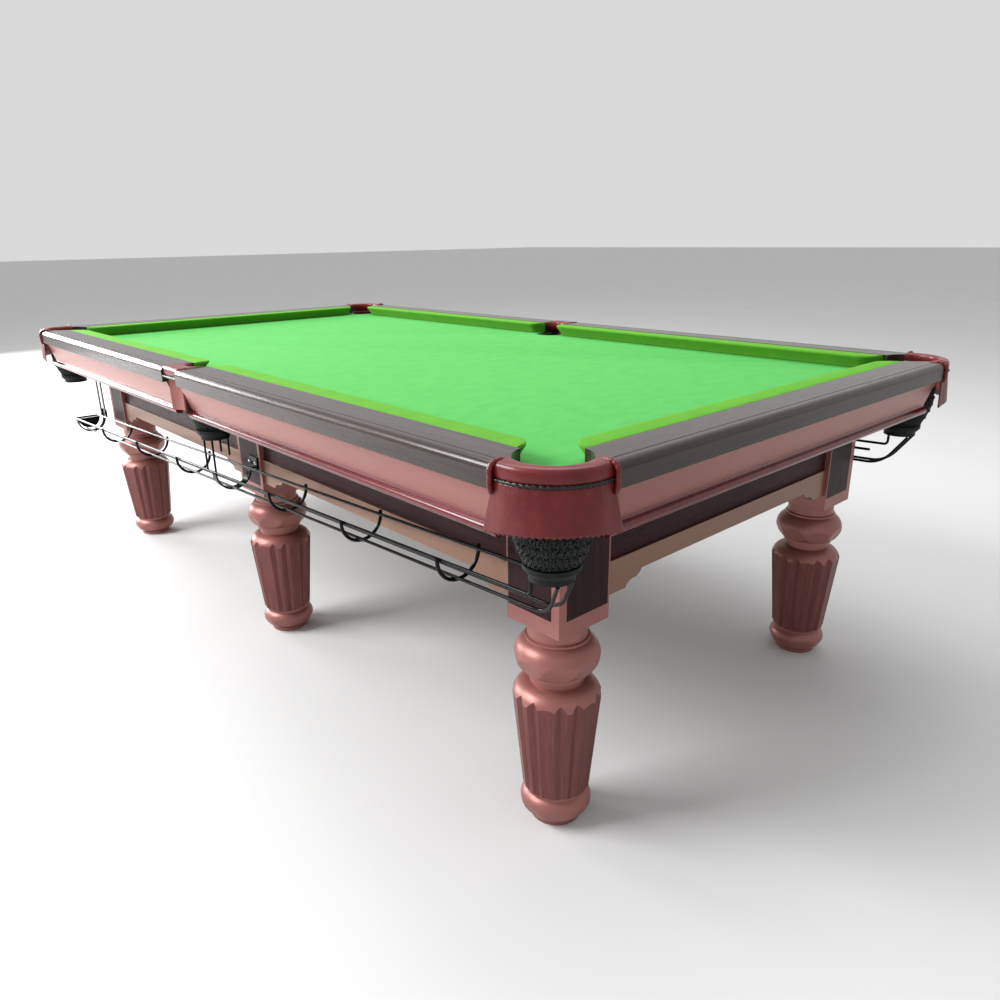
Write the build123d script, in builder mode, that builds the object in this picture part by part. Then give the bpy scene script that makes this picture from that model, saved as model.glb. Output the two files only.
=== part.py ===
from build123d import *
from math import atan2, cos, degrees, hypot, radians, sin, sqrt
import os

# A nine-foot cloth-covered pool table on six turned legs, in millimetres.
# The origin is on the floor under the middle of the table, +X runs along its length
# and +Z up. Front is -Y, back is +Y, left is -X and right is +X.
os.makedirs("parts", exist_ok=True)

# Playing field and rails
PLAY_LENGTH = 2540          # cushion nose to cushion nose
PLAY_WIDTH = 1270
CUSHION_DEPTH = 54          # nose to the wooden cap
CAP_WIDTH = 91              # wooden cap, cushion side to outer face
CAP_TOP = 845               # height of the rail tops above the floor
RAIL_RISE = 38              # rail top above the cloth
CAP_EDGE = 42               # height of the cap's outer face
CAP_ROUND = 14              # radius of the cap's outer top edge
GROOVE_WIDTH = 2
GROOVE_DEPTH = 1.5
GROOVE_INSET = 24           # groove from the cap's outer face
CAP_LIP = 41                # part of the cap that stands over the fascia
NOSE_DROP = 2               # cushion top below the cap top
NOSE_HEIGHT = 5             # upright face of the nose
NOSE_UNDERCUT = 20          # how far the face under the nose runs back

# Slate bed and cloth
CLOTH_THICKNESS = 1
SLATE_THICKNESS = 30
SLATE_MARGIN = 45           # outer rail face to the slate's edge
SLATE_COUNT = 3

# Pockets
CORNER_INSET = 100          # corner pocket centre from both outer faces
MIDDLE_INSET = 105          # middle pocket centre from the outer face
CORNER_MOUTH_RADIUS = 64    # opening in the cap rails and leather
MIDDLE_MOUTH_RADIUS = 50
CORNER_DROP_RADIUS = 54     # hole in the slate
MIDDLE_DROP_RADIUS = 52
CORNER_CAP_END = 136        # where a cap stops, from the other rail's outer face
MIDDLE_CAP_GAP = 95         # between the caps at a middle pocket
CORNER_JAW_RADIUS = 53      # rounding of a cushion end
CORNER_JAW_END = 174        # cushion end from the other rail's outer face
MIDDLE_JAW_RADIUS = 26
MIDDLE_JAW_NOSE = 58        # half the middle mouth at the nose line
MIDDLE_JAW_BACK = 46        # half the middle mouth at the cap
LEATHER_RISE = 2            # leather top above the caps
LEATHER_DROP = 33           # leather ring height
LEATHER_INSET = 5           # leather face inside the rail's outer face
LEATHER_CORNER_RADIUS = 110
SKIRT_THICKNESS = 4
SKIRT_HEIGHT = 70           # hangs from the leather ring
SKIRT_END = 148             # skirt end from the other rail's outer face
LEATHER_CLEARANCE = 0.5     # between leather and wood

# Nets and their rings
NET_TOP_GAP = 2             # under the slate
NET_CORNER_RADIUS = 69
NET_MIDDLE_RADIUS = 60
NET_THICKNESS = 4
NET_STRAIGHT = 40           # length of the net's upright part
RING_TOP = 667
RING_HEIGHT = 28
RING_TOP_RADIUS = 49
RING_FOOT_RADIUS = 39
RING_BORE_RADIUS = 33
RING_LIP = 8                # depth of the ring's flared top

# Fascia and bead under the cap
FASCIA_HEIGHT = 65
FASCIA_THICKNESS = 14
FASCIA_TOP_INSET = 10       # from the cap's outer face
FASCIA_FOOT_INSET = 32
FASCIA_CORNER_END = 150     # board end from the other rail's outer face
FASCIA_MIDDLE_GAP = 92
BEAD_HEIGHT = 25
BEAD_RADIUS = 9
BEAD_DEPTH = 11             # flat part of the bead moulding behind the round
POCKET_PANEL_THICKNESS = 5
POCKET_PANEL_INSET = 16     # from the cap's outer face
POCKET_PANEL_DEPTH = 20     # hollow of the panel at a middle pocket

# Legs
LEG_END_INSET = 243         # corner leg centres from the end rails' outer faces
LEG_SIDE_INSET = 266        # leg centres from the long rails' outer faces
BLOCK = 140                 # square top of a leg
BLOCK_FOOT = 456            # underside of the square block
INLAY_BORDER = 20           # block left bare at an outer corner
INLAY_MARGIN = 4            # block left bare at the other edge
INLAY_RISE = 32             # inlay above the block's underside
INLAY_THICKNESS = 3
LEG_SOLE = 15               # turned leg's lowest face above the floor
NECK_RADIUS = 60
COLLAR_RADIUS = 65
COLLAR_HEIGHT = 8
TORUS_FOOT = (64, 347)      # radius and height: the big ring's foot, belly and top
TORUS_BELLY = (86.6, 385)
TORUS_TOP = (64, 417)
WAIST = (55.5, 322)
SHOULDER = (82, 310)
BODY_TOP = (90.6, 292)
BODY_FOOT = (70, 78)
STEP = 6                    # small steps beside the rings and under the body
BASE_TOP = (62, 64)
BASE_BELLY = (74.5, 41)
BASE_FOOT = (57, LEG_SOLE)
FLAT_COUNT = 6              # broad flats round the body, with a pair of flutes between
FLAT_DEPTH = 2.3            # at the top of the body
FLAT_REACH = 22             # half the width of the flat's cut
FLUTE_TURN = 18.5           # degrees from a flat's middle to the flute beside it
FLUTE_DEPTH = 7
FLUTE_SPREAD = 2.2          # half width of a flute over its depth
FLUTE_FOOT = 67             # in the gap under the body
FLUTE_TOP = 330             # above the shoulder
CUT_REACH = 14              # cutting tools stand this far out of the body
FACET_COUNT = 8
FACET_TILT = 20             # degrees that facets look below level
UPPER_FACET_DEPTH = 5
BASE_FACET_DEPTH = 3.5

# Levelling feet
FOOT_RADIUS = 53
FOOT_THICKNESS = 12
FOOT_CHAMFER = 2
STUD_RADIUS = 8
STUD_CLEARANCE = 0.05
STUD_LENGTH = 62
INSERT_RADIUS = 12
INSERT_LENGTH = 30
STUD_WELL = 12              # free length above the stud

# Frame under the slate
BEAM_THICKNESS = 45
BEAM_FOOT = 535
CROSS_BEAM_WIDTH = 60
CROSS_BEAM_FOOT = 590
PANEL_RECESS = 14           # apron panel behind the block's face
PANEL_THICKNESS = 14
RAIL_RECESS = 8             # lower rail behind the block's face
LOWER_RAIL_TOP = 568
LOWER_RAIL_FOOT = 526
BRACKET_DROP = 29           # extra depth of the lower rail beside a leg
BRACKET_FOOT_LENGTH = 60
BRACKET_LENGTH = 110
OGEE_RADIUS = 26            # both bends of a bracket's ogee

# Ball tracks
TRACK_INSET = 128           # middle of the track from the long rail's outer face
TRACK_MID_HEIGHT = 543      # top rods at the table's middle
TRACK_FALL = 0.045          # fall per unit length, towards -X
TRACK_RADIUS = 44           # rod centres from the channel's axis
ROD_RADIUS = 3.5
LOWER_ROD_OFFSET = 15
TRACK_LOW_GAP = 43          # top rods' low end from the end rail's outer face
TRACK_HIGH_GAP = 143        # inner top rod's high end, the same way
GUIDE_RISE_RADIUS = 70      # bend where the lower rods climb to the ring
GUIDE_RUN = 50              # run along the table while they climb
GUIDE_SEAT = (30, 18)       # where they meet the ring, from its centre
GUIDE_CLEARANCE = 2         # under the ring, for their slanting ends
HOOP_RADIUS = 4
HOOP_POSITIONS = (0.735, 0.495, 0.254, -0.177, -0.431, -0.693)     # of half the length
HOOP_TIP = 6                # hoop ends above the top rods
BRACKET_WIDTH = 24
BRACKET_THICKNESS = 5
STRAP_CLEARANCE = 0.8       # lets the level strap take the sloping rods
BRACKET_PLATE = 52          # length of the plate on a leg's block
BRACKET_PLATE_HEIGHT = 34
BRACKET_X = 30              # bracket on the middle leg
HANGER_WIDTH = 14
HANGER_SPACING = 50
HANGER_THICKNESS = 4
LOWER_ROD_GAP = 75          # lower rods' low end, the same way
STOP_THICKNESS = 6
PRONG_RADIUS = 3
PRONG_CLEARANCE = 0.3       # above the sloping rod
PRONG_SPREAD = 28           # prongs either side of a middle ring's centre
SHORT_PRONG = 50
SCREW_RADIUS = 2.5
SCREW_HEAD_RADIUS = 5.5
SCREW_HEAD_HEIGHT = 3
SCREW_GRIP = 30             # screw length in the leg's wood
SCREW_SPACING = 36

# Rail bolts
RAIL_BOLT_RADIUS = 5
RAIL_BOLT_CLEARANCE = 0.5
RAIL_BOLT_DEPTH = 22        # into the cap
RAIL_BOLT_INSET = 62        # from the rail's outer face
BOLT_HEAD_RADIUS = 9
BOLT_HEAD_HEIGHT = 7
BOLTS_PER_CAP = 4
BOLT_END_MARGIN = 110       # first bolt from a cap's end

# Worked-out sizes
HALF_LENGTH = PLAY_LENGTH / 2 + CUSHION_DEPTH + CAP_WIDTH
HALF_WIDTH = PLAY_WIDTH / 2 + CUSHION_DEPTH + CAP_WIDTH
CLOTH_TOP = CAP_TOP - RAIL_RISE
SLATE_TOP = CLOTH_TOP - CLOTH_THICKNESS
SLATE_FOOT = SLATE_TOP - SLATE_THICKNESS
CAP_FOOT = CAP_TOP - CAP_EDGE
FASCIA_FOOT = CAP_FOOT - FASCIA_HEIGHT
BEAD_FOOT = FASCIA_FOOT - BEAD_HEIGHT
LEATHER_TOP = CAP_TOP + LEATHER_RISE
LEATHER_FOOT = LEATHER_TOP - LEATHER_DROP
SKIRT_FOOT = LEATHER_FOOT - SKIRT_HEIGHT
RING_FOOT = RING_TOP - RING_HEIGHT
HALF_BLOCK = BLOCK / 2
LEG_X = HALF_LENGTH - LEG_END_INSET
LEG_Y = HALF_WIDTH - LEG_SIDE_INSET
TRACK_Y = HALF_WIDTH - TRACK_INSET
TRACK_LEFT_END = HALF_LENGTH - TRACK_LOW_GAP
TRACK_RIGHT_END = HALF_LENGTH - TRACK_HIGH_GAP
LOWER_ROD_LEFT_END = HALF_LENGTH - LOWER_ROD_GAP
BLOCK_FACE_Y = LEG_Y + HALF_BLOCK
CORNERS = [(1, 1), (-1, 1), (-1, -1), (1, -1)]
# Six places, each with a pocket and a leg: side along X, side along Y.
PLACES = {
    "front_left": (-1, -1), "front_middle": (0, -1), "front_right": (1, -1),
    "back_left": (-1, 1), "back_middle": (0, 1), "back_right": (1, 1),
}


def write(part, label):
    """Label a finished piece and write its STEP file."""
    part.label = label
    export_step(part, f"parts/{label}.step")


def long_side(sign, depth):
    """Y of a line that lies depth inside the outer face of a long rail."""
    return sign * (HALF_WIDTH - depth)


def short_side(sign, depth):
    """X of a line that lies depth inside the outer face of an end rail."""
    return sign * (HALF_LENGTH - depth)


# Rails --------------------------------------------------------------------------
# Each rail is described once as (start, end, side). A long rail runs along X and an
# end rail along Y. Its profile is drawn as (depth from the outer face, height).
RAILS = {
    "front_left": ("long", -1, -1),
    "front_right": ("long", -1, 1),
    "back_left": ("long", 1, -1),
    "back_right": ("long", 1, 1),
    "left_end": ("end", -1, 0),
    "right_end": ("end", 1, 0),
}


def rail_span(kind, half, corner_end, middle_gap):
    """Lowest and highest place of a rail piece along its own direction."""
    if kind == "long":
        inner = middle_gap / 2
        outer = HALF_LENGTH - corner_end
        return (inner, outer) if half > 0 else (-outer, -inner)
    outer = HALF_WIDTH - corner_end
    return (-outer, outer)


def rail_plane(kind, side, start):
    """Sketch plane across a rail: local x is depth inwards, local y is height."""
    if kind == "long":
        return Plane(origin=(start, side * HALF_WIDTH, 0), x_dir=(0, -side, 0), z_dir=(-side, 0, 0))
    return Plane(origin=(side * HALF_LENGTH, start, 0), x_dir=(-side, 0, 0), z_dir=(0, side, 0))


def along_rail(kind, side, low, high):
    """Start place and signed length, so that the extrusion runs the plane's way."""
    forward = -side if kind == "long" else side
    return (low, high - low) if forward > 0 else (high, high - low)


def pocket_holes(corner_radius, middle_radius, height_low, height_high):
    """Round posts at all six pockets, to be cut away."""
    with BuildPart(mode=Mode.PRIVATE) as posts:
        with BuildSketch(Plane.XY.offset(height_low)):
            for sx, sy in CORNERS:
                with Locations((short_side(sx, CORNER_INSET), long_side(sy, CORNER_INSET))):
                    Circle(corner_radius)
            for sy in (-1, 1):
                with Locations((0, long_side(sy, MIDDLE_INSET))):
                    Circle(middle_radius)
        extrude(amount=height_high - height_low)
    return posts.part


def bolt_places(kind, side, half):
    """Points of a cap's bolts in plan."""
    low, high = rail_span(kind, half, CORNER_CAP_END, MIDDLE_CAP_GAP)
    pitch = (high - low - 2 * BOLT_END_MARGIN) / (BOLTS_PER_CAP - 1)
    places = []
    for index in range(BOLTS_PER_CAP):
        run = low + BOLT_END_MARGIN + index * pitch
        if kind == "long":
            places.append((run, long_side(side, RAIL_BOLT_INSET)))
        else:
            places.append((short_side(side, RAIL_BOLT_INSET), run))
    return places


ALL_BOLTS = [place for rail in RAILS.values() for place in bolt_places(*rail)]


def cap_profile():
    """Cap section: flat top, a groove, a rounded edge, and a lip over the fascia."""
    round_start = CAP_TOP - CAP_ROUND
    with BuildLine() as outline:
        Polyline(
            (0, round_start), (0, CAP_FOOT), (CAP_LIP, CAP_FOOT), (CAP_LIP, CLOTH_TOP),
            (CAP_WIDTH, CLOTH_TOP), (CAP_WIDTH, CAP_TOP),
            (GROOVE_INSET + GROOVE_WIDTH, CAP_TOP),
            (GROOVE_INSET + GROOVE_WIDTH, CAP_TOP - GROOVE_DEPTH),
            (GROOVE_INSET, CAP_TOP - GROOVE_DEPTH), (GROOVE_INSET, CAP_TOP),
            (CAP_ROUND, CAP_TOP),
        )
        middle = CAP_ROUND * (1 - sqrt(0.5))
        ThreePointArc((CAP_ROUND, CAP_TOP), (middle, CAP_TOP - middle), (0, round_start))
    make_face(outline.edges())


for name, (kind, side, half) in RAILS.items():
    low, high = rail_span(kind, half, CORNER_CAP_END, MIDDLE_CAP_GAP)
    start, length = along_rail(kind, side, low, high)
    with BuildPart() as cap:
        with BuildSketch(rail_plane(kind, side, start)):
            cap_profile()
        extrude(amount=length)
        add(pocket_holes(CORNER_MOUTH_RADIUS, MIDDLE_MOUTH_RADIUS, CAP_FOOT, CAP_TOP), mode=Mode.SUBTRACT)
        with BuildSketch(Plane.XY.offset(CLOTH_TOP)):
            with Locations(*bolt_places(kind, side, half)):
                Circle(RAIL_BOLT_RADIUS)
        extrude(amount=RAIL_BOLT_DEPTH, mode=Mode.SUBTRACT)
    write(cap.part, f"cap_rail_{name}")


def cushion_profile():
    """Cushion section: level top, short upright nose and an undercut face."""
    nose = CAP_WIDTH + CUSHION_DEPTH
    top = CAP_TOP - NOSE_DROP
    with BuildLine() as outline:
        Polyline(
            (CAP_WIDTH, CLOTH_TOP), (CAP_WIDTH, CAP_TOP - NOSE_DROP / 2), (nose, top),
            (nose, top - NOSE_HEIGHT), (nose - NOSE_UNDERCUT, CLOTH_TOP + NOSE_HEIGHT),
            (nose - NOSE_UNDERCUT, CLOTH_TOP), close=True,
        )
    make_face(outline.edges())


def cushion_outline(kind, side, half):
    """Plan of a cushion, with its nose corners rounded into jaws."""
    nose = CAP_WIDTH + CUSHION_DEPTH
    if kind == "long":
        cap_y = long_side(side, CAP_WIDTH)
        nose_y = long_side(side, nose)
        corner_x = half * (HALF_LENGTH - CORNER_JAW_END)
        points = [(corner_x, cap_y), (corner_x, nose_y)]
        points += [(half * MIDDLE_JAW_NOSE, nose_y), (half * MIDDLE_JAW_BACK, cap_y)]
        radii = [CORNER_JAW_RADIUS, MIDDLE_JAW_RADIUS]
    else:
        cap_x = short_side(side, CAP_WIDTH)
        nose_x = short_side(side, nose)
        corner_y = HALF_WIDTH - CORNER_JAW_END
        points = [(cap_x, -corner_y), (nose_x, -corner_y), (nose_x, corner_y), (cap_x, corner_y)]
        radii = [CORNER_JAW_RADIUS, CORNER_JAW_RADIUS]
    with BuildLine() as outline:
        FilletPolyline(*points, radius=radii)
        Line(points[-1], points[0])
    make_face(outline.edges())


for name, (kind, side, half) in RAILS.items():
    low, high = rail_span(kind, half, CORNER_JAW_END, 2 * MIDDLE_JAW_BACK)
    start, length = along_rail(kind, side, low, high)
    with BuildPart() as cushion:
        with BuildSketch(rail_plane(kind, side, start)):
            cushion_profile()
        extrude(amount=length)
        with BuildSketch(Plane.XY.offset(CLOTH_TOP)):
            cushion_outline(kind, side, half)
        extrude(amount=RAIL_RISE, mode=Mode.INTERSECT)
    write(cushion.part, f"cushion_{name}")


def fascia_profile():
    """Fascia board leaning inwards under the cap."""
    with BuildLine() as outline:
        Polyline(
            (FASCIA_TOP_INSET, CAP_FOOT), (FASCIA_TOP_INSET + FASCIA_THICKNESS, CAP_FOOT),
            (FASCIA_FOOT_INSET + FASCIA_THICKNESS, FASCIA_FOOT), (FASCIA_FOOT_INSET, FASCIA_FOOT),
            close=True,
        )
    make_face(outline.edges())


def bead_profile():
    """Half-round bead with a flat back, under the fascia."""
    back = FASCIA_FOOT_INSET + BEAD_DEPTH
    centre = BEAD_FOOT + BEAD_RADIUS
    with BuildLine() as outline:
        Polyline(
            (FASCIA_FOOT_INSET, centre + BEAD_RADIUS), (FASCIA_FOOT_INSET, FASCIA_FOOT),
            (back, FASCIA_FOOT), (back, BEAD_FOOT), (FASCIA_FOOT_INSET, BEAD_FOOT),
        )
        ThreePointArc(
            (FASCIA_FOOT_INSET, BEAD_FOOT), (FASCIA_FOOT_INSET - BEAD_RADIUS, centre),
            (FASCIA_FOOT_INSET, centre + BEAD_RADIUS),
        )
    make_face(outline.edges())


def rail_boards(names, profile):
    """Boards of one profile that run under the named caps."""
    with BuildPart(mode=Mode.PRIVATE) as boards:
        for name in names:
            kind, side, half = RAILS[name]
            low, high = rail_span(kind, half, FASCIA_CORNER_END, FASCIA_MIDDLE_GAP)
            start, length = along_rail(kind, side, low, high)
            with BuildSketch(rail_plane(kind, side, start)):
                profile()
            extrude(amount=length)
    return boards.part


write(rail_boards(RAILS, fascia_profile), "fascias")
write(rail_boards(RAILS, bead_profile), "bead_mouldings")

# Slate bed ----------------------------------------------------------------------
SLATE_HALF_X = HALF_LENGTH - SLATE_MARGIN
SLATE_HALF_Y = HALF_WIDTH - SLATE_MARGIN


def bed_outline():
    """Plan of the whole bed with its six pocket cut-outs."""
    Rectangle(2 * SLATE_HALF_X, 2 * SLATE_HALF_Y)
    for sx, sy in CORNERS:
        centre = (short_side(sx, CORNER_INSET), long_side(sy, CORNER_INSET))
        outwards = degrees(atan2(sy, sx))
        with Locations(centre):
            Circle(CORNER_DROP_RADIUS, mode=Mode.SUBTRACT)
            Rectangle(
                2 * CORNER_INSET, 2 * CORNER_DROP_RADIUS, rotation=outwards,
                align=(Align.MIN, Align.CENTER), mode=Mode.SUBTRACT,
            )
    for sy in (-1, 1):
        with Locations((0, long_side(sy, MIDDLE_INSET))):
            Circle(MIDDLE_DROP_RADIUS, mode=Mode.SUBTRACT)
            Rectangle(
                2 * MIDDLE_DROP_RADIUS, MIDDLE_INSET, mode=Mode.SUBTRACT,
                align=(Align.CENTER, Align.MIN if sy > 0 else Align.MAX),
            )


slate_length = 2 * SLATE_HALF_X / SLATE_COUNT
for index, name in enumerate(["left", "middle", "right"]):
    slate_start = -SLATE_HALF_X + index * slate_length
    with BuildPart() as slate:
        with BuildSketch(Plane.XY.offset(SLATE_FOOT)):
            bed_outline()
            with Locations((slate_start, 0)):
                Rectangle(
                    slate_length, 2 * SLATE_HALF_Y, align=(Align.MIN, Align.CENTER),
                    mode=Mode.INTERSECT,
                )
            with Locations(*ALL_BOLTS):
                Circle(RAIL_BOLT_RADIUS + RAIL_BOLT_CLEARANCE, mode=Mode.SUBTRACT)
        extrude(amount=SLATE_THICKNESS)
    write(slate.part, f"slate_{name}")

with BuildPart() as bed_cloth:
    with BuildSketch(Plane.XY.offset(SLATE_TOP)):
        bed_outline()
        with Locations(*ALL_BOLTS):
            Circle(RAIL_BOLT_RADIUS + RAIL_BOLT_CLEARANCE, mode=Mode.SUBTRACT)
    extrude(amount=CLOTH_THICKNESS)
write(bed_cloth.part, "bed_cloth")

with BuildPart() as rail_bolts:
    with BuildSketch(Plane.XY.offset(SLATE_FOOT)):
        with Locations(*ALL_BOLTS):
            Circle(RAIL_BOLT_RADIUS)
    extrude(amount=CLOTH_TOP + RAIL_BOLT_DEPTH - SLATE_FOOT)
    with BuildSketch(Plane.XY.offset(SLATE_FOOT - BOLT_HEAD_HEIGHT)):
        with Locations(*ALL_BOLTS):
            RegularPolygon(BOLT_HEAD_RADIUS, 6)
    extrude(amount=BOLT_HEAD_HEIGHT)
write(rail_bolts.part, "rail_bolts")

# Pocket leathers, nets and rings ------------------------------------------------
def corner_point(sx, sy, from_end, from_side):
    """Plan point at given distances inside the end rail's and long rail's faces."""
    return (short_side(sx, from_end), long_side(sy, from_side))


def corner_edge(sx, sy, inset, end):
    """Outer edge of a corner leather: two straights joined by a large arc."""
    centre = LEATHER_INSET + LEATHER_CORNER_RADIUS
    nearest = centre - (centre - inset) * sqrt(0.5)
    with BuildLine(mode=Mode.PRIVATE) as edge:
        Line(corner_point(sx, sy, end, inset), corner_point(sx, sy, centre, inset))
        ThreePointArc(
            corner_point(sx, sy, centre, inset), corner_point(sx, sy, nearest, nearest),
            corner_point(sx, sy, inset, centre),
        )
        Line(corner_point(sx, sy, inset, centre), corner_point(sx, sy, inset, end))
    return edge.line


def skirt_sketch(sx, sy, end):
    """Band that follows the corner leather's outer edge."""
    with BuildLine() as outline:
        add(corner_edge(sx, sy, LEATHER_INSET, end))
        inner_inset = LEATHER_INSET + SKIRT_THICKNESS
        add(corner_edge(sx, sy, inner_inset, end))
        Line(corner_point(sx, sy, end, LEATHER_INSET), corner_point(sx, sy, end, inner_inset))
        Line(corner_point(sx, sy, LEATHER_INSET, end), corner_point(sx, sy, inner_inset, end))
    make_face(outline.edges())


def make_corner_leather(sx, sy):
    """Leather ring round a corner pocket, with a skirt hanging from it."""
    end = CORNER_CAP_END - LEATHER_CLEARANCE
    under_caps = CAP_FOOT - LEATHER_CLEARANCE
    with BuildPart(mode=Mode.PRIVATE) as leather:
        with BuildSketch(Plane.XY.offset(LEATHER_FOOT)):
            with BuildLine():
                add(corner_edge(sx, sy, LEATHER_INSET, end))
                Polyline(
                    corner_point(sx, sy, LEATHER_INSET, end), corner_point(sx, sy, end, end),
                    corner_point(sx, sy, end, LEATHER_INSET),
                )
            make_face()
            with Locations(corner_point(sx, sy, CORNER_INSET, CORNER_INSET)):
                Circle(CORNER_MOUTH_RADIUS, mode=Mode.SUBTRACT)
        extrude(amount=LEATHER_DROP)
        with BuildSketch(Plane.XY.offset(under_caps)):
            skirt_sketch(sx, sy, end)
        extrude(amount=LEATHER_FOOT - under_caps)
        with BuildSketch(Plane.XY.offset(SKIRT_FOOT)):
            skirt_sketch(sx, sy, SKIRT_END)
        extrude(amount=under_caps - SKIRT_FOOT)
    return leather.part


def make_middle_leather(sy):
    """Leather bridge between the two caps at a middle pocket."""
    with BuildPart(mode=Mode.PRIVATE) as leather:
        with BuildSketch(Plane.XY.offset(LEATHER_FOOT)):
            with Locations((0, long_side(sy, LEATHER_INSET))):
                Rectangle(
                    MIDDLE_CAP_GAP - 2 * LEATHER_CLEARANCE, MIDDLE_INSET - LEATHER_INSET,
                    align=(Align.CENTER, Align.MAX if sy > 0 else Align.MIN),
                )
            with Locations((0, long_side(sy, MIDDLE_INSET))):
                Circle(MIDDLE_MOUTH_RADIUS, mode=Mode.SUBTRACT)
        extrude(amount=LEATHER_DROP)
    return leather.part


for name, (sx, sy) in PLACES.items():
    leather = make_corner_leather(sx, sy) if sx else make_middle_leather(sy)
    write(leather, f"pocket_leather_{name}")

with BuildPart() as pocket_panels:
    for sy in (-1, 1):
        half_gap = FASCIA_MIDDLE_GAP / 2 - LEATHER_CLEARANCE
        panel_foot = (FASCIA_FOOT + BEAD_FOOT) / 2
        with BuildSketch(Plane.XY.offset(panel_foot)):
            with BuildLine():
                front_ends = [(s * half_gap, long_side(sy, POCKET_PANEL_INSET)) for s in (-1, 1)]
                back_depth = POCKET_PANEL_INSET + POCKET_PANEL_THICKNESS
                back_ends = [(s * half_gap, long_side(sy, back_depth)) for s in (-1, 1)]
                ThreePointArc(
                    front_ends[0],
                    (0, long_side(sy, POCKET_PANEL_INSET + POCKET_PANEL_DEPTH)),
                    front_ends[1],
                )
                ThreePointArc(
                    back_ends[0], (0, long_side(sy, back_depth + POCKET_PANEL_DEPTH)), back_ends[1]
                )
                Line(front_ends[0], back_ends[0])
                Line(front_ends[1], back_ends[1])
            make_face()
        extrude(amount=LEATHER_FOOT - panel_foot)
write(pocket_panels.part, "middle_pocket_panels")


def pocket_centre(sx, sy):
    """Plan centre of a pocket."""
    if sx:
        return corner_point(sx, sy, CORNER_INSET, CORNER_INSET)
    return (0, long_side(sy, MIDDLE_INSET))


def make_net(radius):
    """Funnel of netting, open at both ends, from under the slate to its ring."""
    top = SLATE_FOOT - NET_TOP_GAP
    bend = top - NET_STRAIGHT
    neck = RING_TOP_RADIUS - 2 * NET_THICKNESS
    belly = ((radius + neck) / 2 + NET_THICKNESS, (bend + RING_TOP) / 2)
    with BuildPart(mode=Mode.PRIVATE) as net:
        with BuildSketch(Plane.XZ):
            with BuildLine():
                Line((radius, top), (radius, bend))
                ThreePointArc((radius, bend), belly, (neck, RING_TOP))
                Line((neck, RING_TOP), (neck - NET_THICKNESS, RING_TOP))
                ThreePointArc(
                    (neck - NET_THICKNESS, RING_TOP), (belly[0] - NET_THICKNESS, belly[1]),
                    (radius - NET_THICKNESS, bend),
                )
                Polyline((radius - NET_THICKNESS, bend), (radius - NET_THICKNESS, top), (radius, top))
            make_face()
        revolve(axis=Axis.Z)
    return net.part


corner_net = make_net(NET_CORNER_RADIUS)
middle_net = make_net(NET_MIDDLE_RADIUS)
for name, (sx, sy) in PLACES.items():
    with BuildPart() as net:
        with Locations(pocket_centre(sx, sy)):
            add(corner_net if sx else middle_net)
    write(net.part, f"pocket_net_{name}")

with BuildPart(mode=Mode.PRIVATE) as ring_blank:
    with BuildSketch(Plane.XZ):
        with BuildLine():
            Polyline(
                (RING_BORE_RADIUS, RING_FOOT), (RING_FOOT_RADIUS, RING_FOOT),
                (RING_FOOT_RADIUS, RING_FOOT + RING_LIP), (RING_TOP_RADIUS, RING_TOP - RING_LIP),
                (RING_TOP_RADIUS, RING_TOP), (RING_FOOT_RADIUS, RING_TOP),
                (RING_BORE_RADIUS, RING_TOP - RING_LIP), close=True,
            )
        make_face()
    revolve(axis=Axis.Z)

with BuildPart() as pocket_rings:
    with Locations(*[pocket_centre(sx, sy) for sx, sy in PLACES.values()]):
        add(ring_blank.part)
write(pocket_rings.part, "pocket_rings")

# Legs ---------------------------------------------------------------------------
def facet_centre(foot, belly, top, depth):
    """Radius and height of a facet's middle on a turned ring."""
    (x1, y1), (x2, y2), (x3, y3) = foot, belly, top
    scale = 2 * (x1 * (y2 - y3) + x2 * (y3 - y1) + x3 * (y1 - y2))
    s1, s2, s3 = x1 * x1 + y1 * y1, x2 * x2 + y2 * y2, x3 * x3 + y3 * y3
    mid_r = (s1 * (y2 - y3) + s2 * (y3 - y1) + s3 * (y1 - y2)) / scale
    mid_z = (s1 * (x3 - x2) + s2 * (x1 - x3) + s3 * (x2 - x1)) / scale
    reach = hypot(x2 - mid_r, y2 - mid_z) - depth
    tilt = radians(FACET_TILT)
    return (mid_r + reach * cos(tilt), mid_z - reach * sin(tilt))


def body_cut_plane(turn, share, height):
    """Plane across a cut that follows the tapered body at a share of its radius."""
    taper = (BODY_TOP[0] - BODY_FOOT[0]) / (BODY_TOP[1] - BODY_FOOT[1])
    radius = share * (BODY_FOOT[0] + (height - BODY_FOOT[1]) * taper)
    return Plane(
        origin=(radius * cos(turn), radius * sin(turn), height),
        x_dir=(-sin(turn), cos(turn), 0),
        z_dir=(share * taper * cos(turn), share * taper * sin(turn), 1),
    )


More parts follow.
